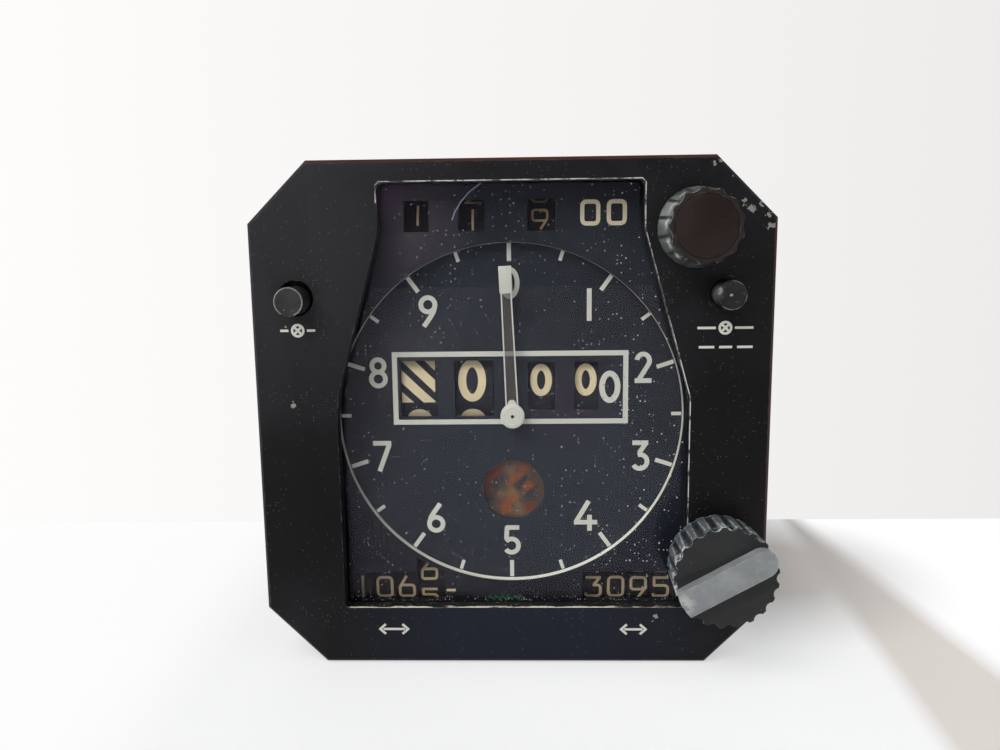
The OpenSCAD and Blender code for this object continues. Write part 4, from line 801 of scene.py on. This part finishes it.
roundNumbers = [
    [Loop(arc(0, 0, 1.55, 2.85, 0, 354, 47))],
    [[(0, -3.4), (0, 3.4)]],
    [arc(-0.05, 1.42, 1.4, 1.43, 172, -32, 20) + [(-1.15, -2.9)], [(-1.9, -2.85), (1.85, -2.85)]],
    [[(-1.75, 2.85), (1.65, 2.85)], [(1.25, 2.9), (-0.25, 0.62)], arc(-0.1, -1.3, 1.55, 1.55, 108, -150, 26)],
    [[(0.75, 3.35), (-2.05, -1.4)], [(-2.45, -1.45), (2.6, -1.45)], [(0.95, 0.2), (0.95, -3.4)]],
    [[(1.65, 2.85), (-1.2, 2.85)], [(-1.0, 3.1), (-1.2, 0.2)], arc(-0.05, -1.3, 1.5, 1.55, 142, -146, 26)],
    [Loop(arc(0, -1.3, 1.5, 1.5, 0, 350, 35)), [(0.95, 3.25), (-0.25, 1.55), (-1.1, 0.3), (-1.45, -0.9)]],
    [[(-2.0, 2.85), (1.95, 2.85)], [(1.55, 2.6), (-0.75, -3.4)]],
    [Loop(arc(0, 1.5, 1.32, 1.33, 0, 350, 35)), Loop(arc(0, -1.35, 1.52, 1.5, 0, 350, 35))],
    [Loop(arc(0, 1.35, 1.5, 1.5, 0, 350, 35)), [(-0.95, -3.25), (0.35, -1.5), (1.15, -0.2), (1.47, 1.0)]]]


def roundedBox(half, low, high, radius):
    return softened(Loop([(-half, low), (-half, high), (half, high), (half, low)]), radius)


squareNumbers = [
    [roundedBox(1.6, -2, 2, 0.9)],
    [[(0, -2.35), (0, 2.35)]],
    [softened([(-1.6, 1.3), (-1.6, 2), (1.6, 2), (1.6, 0.2), (-1.5, -1.7)], 0.8), [(-1.9, -2), (1.9, -2)]],
    [[(-1.7, 2), (1.7, 2)], [(1.45, 2), (0.1, 0.5)],
        softened([(-0.1, 0.45), (1.6, 0.45), (1.6, -2), (-1.6, -2), (-1.6, -1.3)], 0.9)],
    [[(0.5, 2.3), (-1.6, -0.9)], [(-1.95, -0.95), (1.95, -0.95)], [(0.9, 0.5), (0.9, -2.35)]],
    [[(1.7, 2), (-1.5, 2)], [(-1.45, 2.2), (-1.45, 0.35)],
        softened([(-1.6, 0.4), (1.6, 0.4), (1.6, -2), (-1.6, -2), (-1.6, -1.4)], 0.9)],
    [roundedBox(1.6, -2, 0.45, 0.7), [(-1.5, 0.2), (-0.1, 2.3)]],
    [[(-1.8, 2), (1.8, 2)], [(1.5, 1.9), (-0.5, -2.35)]],
    [roundedBox(1.35, 0.2, 2, 0.6), roundedBox(1.6, -2, 0.2, 0.7)],
    [roundedBox(1.6, -0.45, 2, 0.7), [(1.5, -0.2), (0.1, -2.3)]]]


def sizedStrokes(strokes, across, up):
    return [type(points)((x * across, y * up) for x, y in points) for points in strokes]


# from drawing in mm on XY to standing at a place, facing -Y
def standUp(piece, x, z, y):
    piece.data.transform(Matrix.Translation(Vector((x, y, z)) * mm) @ upright @ Matrix.Scale(mm, 4))
    return piece


def sliceAcross(piece, low, high, step):
    level = low
    while level < high:
        editAll(piece)
        bpy.ops.mesh.bisect(plane_co=(0, level, 0), plane_no=(0, 1, 0))
        level += step
    setMode("OBJECT")
    return piece


def wrapOnDrum(piece, x, row, angle, lift=0.03):
    for point in piece.data.vertices:
        turn = math.radians(angle) + point.co.y / row["radius"]
        reach = row["radius"] + lift + point.co.z
        place = (x + point.co.x, row["y"] - reach * math.cos(turn), row["z"] + reach * math.sin(turn))
        point.co = Vector(place) * mm
    return piece


def boxOutline(x0, z0, x1, z1):
    return [(x0, z0), (x1, z0), (x1, z1), (x0, z1)]


# dial markings

dialLook = {"thickness": 0.05, "plane": -1.03, "stroke": 1.0, "middle": (-0.45, -0.1),
    "major": (32.75, 36.5, 0.88), "minor": (34.4, 36.5, 0.74), "narrowTwo": 0.95,
    "places": [(-0.34, 28.06), (16.35, 23.35), (27.88, 9.93), (27.5, -9.32), (15.66, -22.76), (-0.44, -28.21),
        (-17.05, -23.16), (-28.38, -9.08), (-28.74, 9.23), (-17.7, 22.34)],
    "frame": (-25.7, -2.15, 24.7, 13.65), "frameLine": 1.08,
    "zero": (20.8, 5.8), "zeroSize": (1.67 / 1.55, 2.88 / 2.85), "zeroStroke": 1.2}
numerals = []
for value, (x, z) in enumerate(dialLook["places"]):
    strokes = sizedStrokes(roundNumbers[value], dialLook["narrowTwo"] if value == 2 else 1.0, 1.0)
    sign = drawnSign("numeral", strokes, dialLook["stroke"], dialLook["thickness"])
    numerals.append(standUp(sign, x, z, dialLook["plane"]))
fitTo(joinPieces(numerals, "dialNumbers"), "case", "dial_paint", "offWhitePaint")

ticks = []
for i in range(20):
    inner, outer, width = dialLook["minor" if i % 2 else "major"]
    tick = filledShape([boxOutline(-width / 2, inner, width / 2, outer)], dialLook["thickness"])
    tick.data.transform(Matrix.Rotation(math.radians(-18 * i), 4, "Z"))
    ticks.append(standUp(tick, *dialLook["middle"], dialLook["plane"]))
fitTo(joinPieces(ticks, "dialTicks"), "case", "dial_paint", "offWhitePaint")

x0, z0, x1, z1 = dialLook["frame"]
line = dialLook["frameLine"]
inner = boxOutline(x0 + line, z0 + line, x1 - line, z1 - line)
counterFrame = filledShape([boxOutline(x0, z0, x1, z1), inner], dialLook["thickness"], "counterFrame")
fitTo(standUp(counterFrame, 0, 0, dialLook["plane"]), "case", "dial_paint", "offWhitePaint")
paintedZero = drawnSign("paintedZero", sizedStrokes(roundNumbers[0], *dialLook["zeroSize"]),
    dialLook["zeroStroke"])
fitTo(standUp(paintedZero, *dialLook["zero"], dialLook["plane"]), "case", "dial_paint", "offWhitePaint")

maskLook = {"plane": -3.03, "zeros": (16.32, 21.74), "zerosHeight": 42.3, "zeroSize": (1.02, 1.1),
    "zeroStroke": 0.85, "dash": (-13.88, -38.96), "dashSize": (2.0, 0.5)}
zeros = []
for x in maskLook["zeros"]:
    zero = drawnSign("zero", sizedStrokes(squareNumbers[0], *maskLook["zeroSize"]), maskLook["zeroStroke"])
    zeros.append(standUp(zero, x, maskLook["zerosHeight"], maskLook["plane"]))
fitTo(joinPieces(zeros, "paintedZeros"), "case", "dial_paint", "zeroPaint")
dashHalf, dashRise = (size / 2 for size in maskLook["dashSize"])
dash = filledShape([boxOutline(-dashHalf, -dashRise, dashHalf, dashRise)], 0.05, "maskDash")
fitTo(standUp(dash, *maskLook["dash"], maskLook["plane"]), "case", "dial_paint", "tanPaint")

ringLook = {"radius": 36.66, "wall": 0.05, "front": -2.75, "back": -1.25, "middle": (-0.45, -0.1)}
dropSelection()
bpy.ops.mesh.primitive_cylinder_add(vertices=192, radius=ringLook["radius"],
    depth=ringLook["back"] - ringLook["front"], end_fill_type="NOTHING")
ring = standUp(justMade("apertureRing"), *ringLook["middle"], (ringLook["front"] + ringLook["back"]) / 2)
applied(ring, "SOLIDIFY", thickness=ringLook["wall"] * mm, offset=-1)
fitTo(smoothOver(ring, 40), "case", "dial_paint", "ringPaint")
print("dial painted")


# numbers on the drums

def numberMasters(numbers, across, up, stroke, step, smallNine=1.0):
    drawn = []
    for value, strokes in enumerate(numbers):
        size = smallNine if value == 9 else 1.0
        master = drawnSign("master", sizedStrokes(strokes, across * (1 + size) / 2, up * size), stroke)
        drawn.append(sliceAcross(master, -5, 5, step))
    return drawn


def clipBetween(corners, low, high):
    for bound, sign in ((low, 1), (high, -1)):
        kept = []
        for i, (x, v) in enumerate(corners):
            px, pv = corners[i - 1]
            inside, before = sign * (v - bound) >= 0, sign * (pv - bound) >= 0
            if inside != before:
                t = (bound - pv) / (v - pv)
                kept.append((px + (x - px) * t, bound))
            if inside:
                kept.append((x, v))
        corners = kept
    return corners


def hatchedPlate(look):
    width, height, rise = look["width"], look["height"], look["slope"] * look["width"]
    bands = []
    for k in range(-1, 3):
        high = look["pitch"] * k + look["offset"]
        low = high - look["bar"]
        kept = clipBetween([(0, low), (width, low + rise), (width, high + rise), (0, high)], 0, height)
        if len(kept) > 2:
            bands.append(filledShape([[(x - width / 2, height / 2 - v) for x, v in kept]], 0.05))
    return sliceAcross(joinPieces(bands, "hatch"), -6, 6, 0.7)


# numbers, width and height as shares of the drawn ones, stroke, slices and the size of a smaller 9
numberLook = {
    "big": (roundNumbers, 2.15 / 1.55, 3.78 / 2.85, 1.72, 0.7, 0.82),
    "middle": (roundNumbers, 1.62 / 1.55, 2.78 / 2.85, 1.42, 0.7),
    "small": (squareNumbers, 1.01, 1.12, 0.6, 0.5),
    "last": (squareNumbers, 1.02, 0.88, 0.58, 0.5),
    "thin": (squareNumbers, 0.97, 0.98, 0.48, 0.5)}
plateLook = {"width": 7.28, "height": 9.5, "pitch": 4.7, "bar": 2.7, "slope": 0.95, "offset": 0.35}
masters = {style: numberMasters(*look) for style, look in numberLook.items()}
hatch = hatchedPlate(plateLook)
masters["hatched"] = [hatch] + masters["big"][1:]

mainRow = {"radius": 16.5, "y": 16.9, "z": 5.5}
selectRow = {"radius": 9.5, "y": 9.9, "z": 38.9}
pressureRow = {"radius": 9.5, "y": 9.9, "z": -39.0}
# each group of drums with its numbers and finish, and each drum's x, number shown and angle
drumGroups = [
    (mainRow, "hatched", "creamPaint", [("tenThousandsNumbers", "ten_thousands", -20.37, 0, 5.75)]),
    (mainRow, "big", "creamPaint", [("thousandsNumbers", "thousands", -8.69, 0, 5.75)]),
    (mainRow, "middle", "creamPaint", [("hundredsNumbers", "hundreds", 6.2, 0, 5.75),
        ("tensNumbers", "tens", 15.8, 0, 5.75)]),
    (selectRow, "thin", "paleGoldPaint", [("selectedTenThousands", "selector_ten_thousands", -19.6, 1, 21.8),
        ("selectedThousands", "selector_thousands", -8.0, 1, 15.0)]),
    (selectRow, "thin", "goldPaint", [("selectedHundreds", "selector_hundreds", 6.1, 9, 15.1)]),
    (pressureRow, "small", "tanPaint", [("leftNumbers1", "left_1", -34.1, 1, -4.2),
        ("leftNumbers2", "left_2", -29.1, 0, -4.2), ("leftNumbers3", "left_3", -24.1, 6, -4.2)]),
    (pressureRow, "last", "tanPaint", [("leftNumbers4", "left_4", -19.0, 6, 18.3)]),
    (pressureRow, "small", "tanPaint", [("rightNumbers1", "right_1", 17.6, 3, -4.6),
        ("rightNumbers2", "right_2", 22.6, 0, -4.2), ("rightNumbers3", "right_3", 27.6, 9, -4.8),
        ("rightNumbers4", "right_4", 32.6, 5, -5.0)])]
for row, style, finishName, drums in drumGroups:
    for name, body, x, shown, angle in drums:
        signs = []
        for value, master in enumerate(masters[style]):
            sign = newObject("sign", master.data.copy())
            signs.append(wrapOnDrum(sign, x, row, angle + 36 * (value - shown)))
        fitTo(joinPieces(signs, name), body, "drum_black", finishName)
for master in [hatch] + [master for style in numberLook for master in masters[style]]:
    bpy.data.objects.remove(master)
print("drums numbered")


# pointer

# steps: the insets of the hub's front, each with its width and its rise
pointerLook = {"hub": 2.55, "hubBack": -2.5, "hubFront": -3.75, "pit": 0.38, "pitDepth": 0.7,
    "steps": ((0.3, 0.12), (0.55, 0.0), (0.1, -0.08), (0.1, 0.08)),
    "bladeWidth": 2.7, "bladeTop": 2.3, "bladeFrom": 1.9, "bladeTo": 26.3, "line": 0.28, "back": -2.9,
    "front": -3.4, "tabWidth": 2.7, "tabFrom": 26.1, "tabTo": 31.7, "tabEdge": 0.12, "thicker": 0.05,
    "neckLow": 2.6, "neckTop": 1.5, "neckFrom": 1.8, "neckTo": 3.5, "neckCut": 0.4, "tilt": -2.4}


def blockPiece(name, width, front, back, low, high):
    dropSelection()
    bpy.ops.mesh.primitive_cube_add(size=1)
    first, last = Vector((-width / 2, front, low)) * mm, Vector((width / 2, back, high)) * mm
    piece = justMade(name)
    piece.data.transform(Matrix.Translation((first + last) / 2) @ Matrix.Diagonal((*(last - first), 1)))
    return piece


def pointerHub(look):
    dropSelection()
    bpy.ops.mesh.primitive_cylinder_add(vertices=64, radius=look["hub"],
        depth=look["hubBack"] - look["hubFront"])
    hub = painted(justMade("hub"), "offWhitePaint", "darkPit")
    hub.data.transform(upright)
    selectFaces(hub, lambda face: face.normal.y < -0.9)
    for width, rise in look["steps"]:
        bpy.ops.mesh.inset(thickness=width, depth=rise)
    flat = look["hub"] - look["pit"] - sum(width for width, rise in look["steps"])
    bpy.ops.mesh.inset(thickness=flat, depth=0.0)
    bpy.ops.mesh.extrude_region_move(TRANSFORM_OT_translate={"value": (0, look["pitDepth"], 0)})
    setMode("OBJECT")
    # the pit's faces take darkPit, painted shade
    for face in hub.data.polygons:
        away = math.hypot(face.center.x, face.center.z)
        face.material_index = int(away < look["pit"] + 0.02 and face.center.y < 0.2)
    middle = (look["hubBack"] + look["hubFront"]) / 2
    hub.data.transform(Matrix.Scale(mm, 4) @ Matrix.Translation((0, middle, 0)))
    return hub


# clear in the middle, with a painted line along its edge
def pointerBlade(look):
    blade = blockPiece("blade", look["bladeWidth"], look["front"], look["back"], look["bladeFrom"],
        look["bladeTo"])
    painted(blade, "offWhitePaint", "bladeFilm")
    for point in blade.data.vertices:
        if point.co.z > look["bladeFrom"] * mm * 2:
            point.co.x *= look["bladeTop"] / look["bladeWidth"]
    selectFaces(blade, lambda face: abs(face.normal.y) > 0.9)
    bpy.ops.mesh.inset(thickness=look["line"] * mm, depth=0, use_individual=True)
    setMode("OBJECT")
    for face in blade.data.polygons:
        face.material_index = int(face.select)
    return blade


def pointerNeck(look):
    half, top, high, thicker = look["neckLow"] / 2, look["neckTop"] / 2, look["neckTo"], look["thicker"]
    left = [(-0.5 * top, high), (-top, high - look["neckCut"]), (-half, look["neckFrom"])]
    right = [(-x, z) for x, z in reversed(left)]
    neck = filledShape([right + left], look["back"] - look["front"] + 2 * thicker)
    return painted(standUp(neck, 0, 0, (look["back"] + look["front"]) / 2), "offWhitePaint")


front, back = pointerLook["front"] - pointerLook["thicker"], pointerLook["back"] + pointerLook["thicker"]
tab = blockPiece("tab", pointerLook["tabWidth"], front, back, pointerLook["tabFrom"], pointerLook["tabTo"])
roundEdges(painted(tab, "offWhitePaint"), pointerLook["tabEdge"])
pointer = joinPieces([pointerHub(pointerLook), pointerBlade(pointerLook), tab, pointerNeck(pointerLook)],
    "pointerHand")
pointer.data.transform(Matrix.Rotation(math.radians(pointerLook["tilt"]), 4, "Y"))
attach(pointer, bodyOf["pointer"])
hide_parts("pointer")
smoothOver(pointer, 30)
print("pointer made")


# dust and marks on the glass, the mask and the bezel

filmLook = {"corners": [(26.48, 48.28), (26.48, 38.8), (36.08, 4.5), (36.08, -40.48)], "rounding": 1.4,
    "plane": -5.735, "thickness": 0.01}
corners = Loop(filmLook["corners"] + [(-x, z) for x, z in reversed(filmLook["corners"])])
film = filledShape([softened(corners, filmLook["rounding"])], filmLook["thickness"], "dustFilm")
fitTo(standUp(film, 0, 0, filmLook["plane"]), "case", "clear_glass", "glassDust")

hairLook = {"points": [(-5.9, 48.3), (-8.3, 46.6), (-10.0, 44.7), (-11.3, 42.6), (-11.9, 41.0)],
    "width": 0.24, "thickness": 0.02, "plane": -5.75}
hair = drawnSign("glassHair", [hairLook["points"]], hairLook["width"], hairLook["thickness"])
fitTo(standUp(hair, 0, 0, hairLook["plane"]), "case", "clear_glass", "hairBlue")

waveLook = {"middle": (-1.7, -40.7), "half": 3.9, "height": 0.75, "steps": 26, "sway": (2.1, 0.7),
    "width": 0.18, "thickness": 0.03, "plane": -3.04}
steps, (fast, slow) = waveLook["steps"], waveLook["sway"]
points = [(waveLook["half"] * (2 * i / steps - 1),
    waveLook["height"] * math.sin(i * fast) * math.cos(i * slow)) for i in range(steps + 1)]
wave = drawnSign("greenWave", [points], waveLook["width"], waveLook["thickness"])
fitTo(standUp(wave, *waveLook["middle"], waveLook["plane"]), "case", "dial_paint", "greenMark")

# a pale broken line along the window's top edge and down its right side: worn paint along the top, painted
# highlight down the right side
scuffAndHighlightLook = {"points": [(-26.82, 44.5), (-26.82, 47.9), (-26.1, 48.62), (26.1, 48.62), (26.82, 47.9),
    (26.82, 38.9), (36.42, 4.6), (36.42, -26)], "width": 0.2, "thickness": 0.02, "plane": -9.0}
scuffAndHighlight = drawnSign("edgeScuff", [scuffAndHighlightLook["points"]], scuffAndHighlightLook["width"], scuffAndHighlightLook["thickness"])
fitTo(standUp(scuffAndHighlight, 0, 0, scuffAndHighlightLook["plane"]), "case", "black_enamel", "scuffPaint")

buttonRing = {"at": (42.95, 25.7), "outer": 3.85, "inner": 3.08, "front": -8.93, "back": -8.3}
ring = filledShape([ringAround(buttonRing["outer"]), ringAround(buttonRing["inner"])],
    buttonRing["back"] - buttonRing["front"], "rightButtonRing")
standUp(ring, *buttonRing["at"], (buttonRing["front"] + buttonRing["back"]) / 2)
fitTo(ring, "case", "black_enamel", "blackEnamel")


def lampMark(reach):
    return [Loop(arc(0, 0, 1.15, 1.15, 0, 345, 23)), [(-0.8, -0.8), (0.8, 0.8)], [(-0.8, 0.8), (0.8, -0.8)],
        [(-reach, 0), (-1.9, 0)], [(1.9, 0), (reach, 0)]]


def arrowMark(reach):
    return [[(-reach + 0.7, 0), (reach - 0.7, 0)], [(-reach + 1.2, 1.1), (-reach, 0), (-reach + 1.2, -1.1)],
        [(reach - 1.2, 1.1), (reach, 0), (reach - 1.2, -1.1)]]


def dashMark(reach):
    return [[(-reach, 0), (-reach / 3 - 0.5, 0)], [(-reach / 3 + 0.5, 0), (reach / 3 - 0.5, 0)],
        [(reach / 3 + 0.5, 0), (reach, 0)]]


# each mark with its half length and its place
bezelMarks = {"plane": -9.02, "stroke": 0.5, "thickness": 0.04, "marks": [(lampMark, 3.6, -43.6, 19.15),
    (lampMark, 5.6, 43.1, 18.9), (dashMark, 5.4, 43.25, 15.0), (arrowMark, 3.0, -25.85, -45.4),
    (arrowMark, 2.6, 25.4, -45.5)]}
signs = []
for drawn, reach, x, z in bezelMarks["marks"]:
    sign = drawnSign("sign", drawn(reach), bezelMarks["stroke"], bezelMarks["thickness"])
    signs.append(standUp(sign, x, z, bezelMarks["plane"]))
fitTo(joinPieces(signs, "bezelMarks"), "case", "black_enamel", "offWhitePaint")
print("marks engraved")


# stage, world, sun and camera

# leftGlow: where the floor's own glow starts and is full towards the left, in m, and its share
# shaded is painted shade: the cloth's colour between the folds and in a painted shadow round dimAt, right of
# the object, where dimming also lowers the floor's glow
stageLook = {"floor": -53.2, "edge": 86.0, "cloth": (0.95, 0.95, 0.96), "shaded": (0.8, 0.745, 0.7),
    "dimAt": (70, 45, -53.2), "dimRadius": 48.0, "dimming": 0.85, "leftGlow": (-0.03, -0.09, 0.85),
    "nearFold": ((86.9, 73.7), (76.7, -39.4), 5.0), "farFold": ((92.0, 83.2), (99.4, 9.6), 7.0),
    "leftWall": (0.985, 0.975, 0.965), "rightWall": (0.845, 0.835, 0.825), "wallAt": 1800.0}


# 0 on one side of the fold's line and 1 on the other
def clothFold(g, start, end, soft):
    run = (end[0] - start[0], end[1] - start[1])
    length = math.hypot(*run)
    parts = g.axes()
    sideways = g.plus(g.times(g.minus(parts["X"], start[0] * mm), -run[1] / length),
        g.times(g.minus(parts["Y"], start[1] * mm), run[0] / length))
    return g.plus(g.maths("DIVIDE", sideways, soft * mm), 0.5, True)


# the floor shows the background past its edge, and the wall shows it everywhere; the background darkens from
# left to right as painted shade
def stagePaint(name, isFloor):
    g, shader = newFinish(name)
    parts = g.axes()
    across = g.maths("DIVIDE", parts["X"], g.plus(parts["Y"], 0.18))
    shade = g.plus(g.times(across, 0.8), 0.5, True)
    background = g.blend(shade, stageLook["leftWall"], stageLook["rightWall"])
    light = g.put("LightPath").outputs
    seen = g.most(light["Is Camera Ray"], g.most(light["Is Glossy Ray"], light["Is Transmission Ray"]))
    cloth, share = stageLook["cloth"], 0.0
    if isFloor:
        seen = g.times(seen, g.maths("GREATER_THAN", parts["Y"], stageLook["edge"] * mm))
        # painted shade on the cloth between the folds and in a round shadow right of the object; painted
        # light where the floor glows for camera rays towards the left and past the far fold
        nearFold, farFold = clothFold(g, *stageLook["nearFold"]), clothFold(g, *stageLook["farFold"])
        near = g.patch(*stageLook["dimAt"], stageLook["dimRadius"], 0.0)
        cloth = g.blend(g.times(nearFold, g.rest(farFold)), cloth, stageLook["shaded"])
        cloth = g.blend(near, cloth, stageLook["shaded"])
        start, full, glow = stageLook["leftGlow"]
        bright = g.most(g.times(g.rest(nearFold), 0.5), farFold)
        bright = g.most(bright, g.times(g.ramp(parts["X"], start, full), glow))
        bright = g.times(bright, g.rest(g.times(near, stageLook["dimming"])))
        share = g.times(g.times(bright, light["Is Camera Ray"]), g.rest(seen))
    own = g.blend(share, (0, 0, 0), (1, 1, 1))
    g.feedAll(shader, {"Emission Color": g.blend(seen, own, background), "Emission Strength": 1.0,
        "Base Color": g.blend(g.plus(share, seen), cloth, (0, 0, 0)), "Roughness": 0.9,
        "Specular IOR Level": 0.0})


for name, finishName, size, turned, place in (
        ("stageFloor", "paleCloth", 4, Matrix.Identity(4), (0, 0, stageLook["floor"])),
        ("stageWall", "paleWall", 6, upright, (0, stageLook["wallAt"], 0))):
    stagePaint(finishName, name == "stageFloor")
    dropSelection()
    bpy.ops.mesh.primitive_plane_add(size=size)
    plane = painted(justMade(name), finishName)
    plane.data.transform(Matrix.Translation(Vector(place) * mm) @ turned)

skyLook = {"colour": (0.93, 0.96, 1.0), "strength": 0.45, "seen": (0.93, 0.925, 0.92)}
world = bpy.context.scene.world or bpy.data.worlds.new("studioWorld")
bpy.context.scene.world = world
world.use_nodes = True
sky = world.node_tree.nodes["Background"].inputs
g = Graph(world.node_tree)
seenSky = g.put("LightPath").outputs["Is Camera Ray"]
g.feedAll(sky, {"Color": g.blend(seenSky, skyLook["colour"], skyLook["seen"]),
    "Strength": g.most(seenSky, skyLook["strength"])})

sunLook = {"from": (-0.55, -0.62, 0.85), "strength": 2.05, "spread": 45, "colour": (1.0, 0.99, 0.96)}
sun = bpy.data.lights.new("softSun", "SUN")
sun.energy = sunLook["strength"]
sun.angle = math.radians(sunLook["spread"])
sun.color = sunLook["colour"]
sunStand = newObject("softSun", sun)
sunStand.rotation_euler = (-Vector(sunLook["from"])).to_track_quat("-Z", "Y").to_euler()

# focal is in pixels of the photograph
cameraLook = {"place": (1.99, -173.88, 34.31), "yaw": 1.53, "pitch": -8.5, "roll": 0.7, "focal": 815.5,
    "photoWidth": 1000, "sensor": 36.0}
eye = bpy.data.cameras.new("photoCamera")
eye.sensor_width = cameraLook["sensor"]
eye.lens = cameraLook["focal"] * cameraLook["sensor"] / cameraLook["photoWidth"]
eye.clip_start = 0.005
eye.clip_end = 20
yaw, pitch, roll = (math.radians(cameraLook[turn]) for turn in ("yaw", "pitch", "roll"))
turned = Matrix.Rotation(yaw, 4, "Z") @ Matrix.Rotation(pitch, 4, "X") @ Matrix.Rotation(roll, 4, "Y")
cameraStand = newObject("photoCamera", eye)
cameraStand.matrix_world = Matrix.Translation(Vector(cameraLook["place"]) * mm) @ turned @ upright
bpy.context.scene.camera = cameraStand
bpy.context.scene.view_settings.view_transform = "Standard"
print("stage, lamps and camera set")
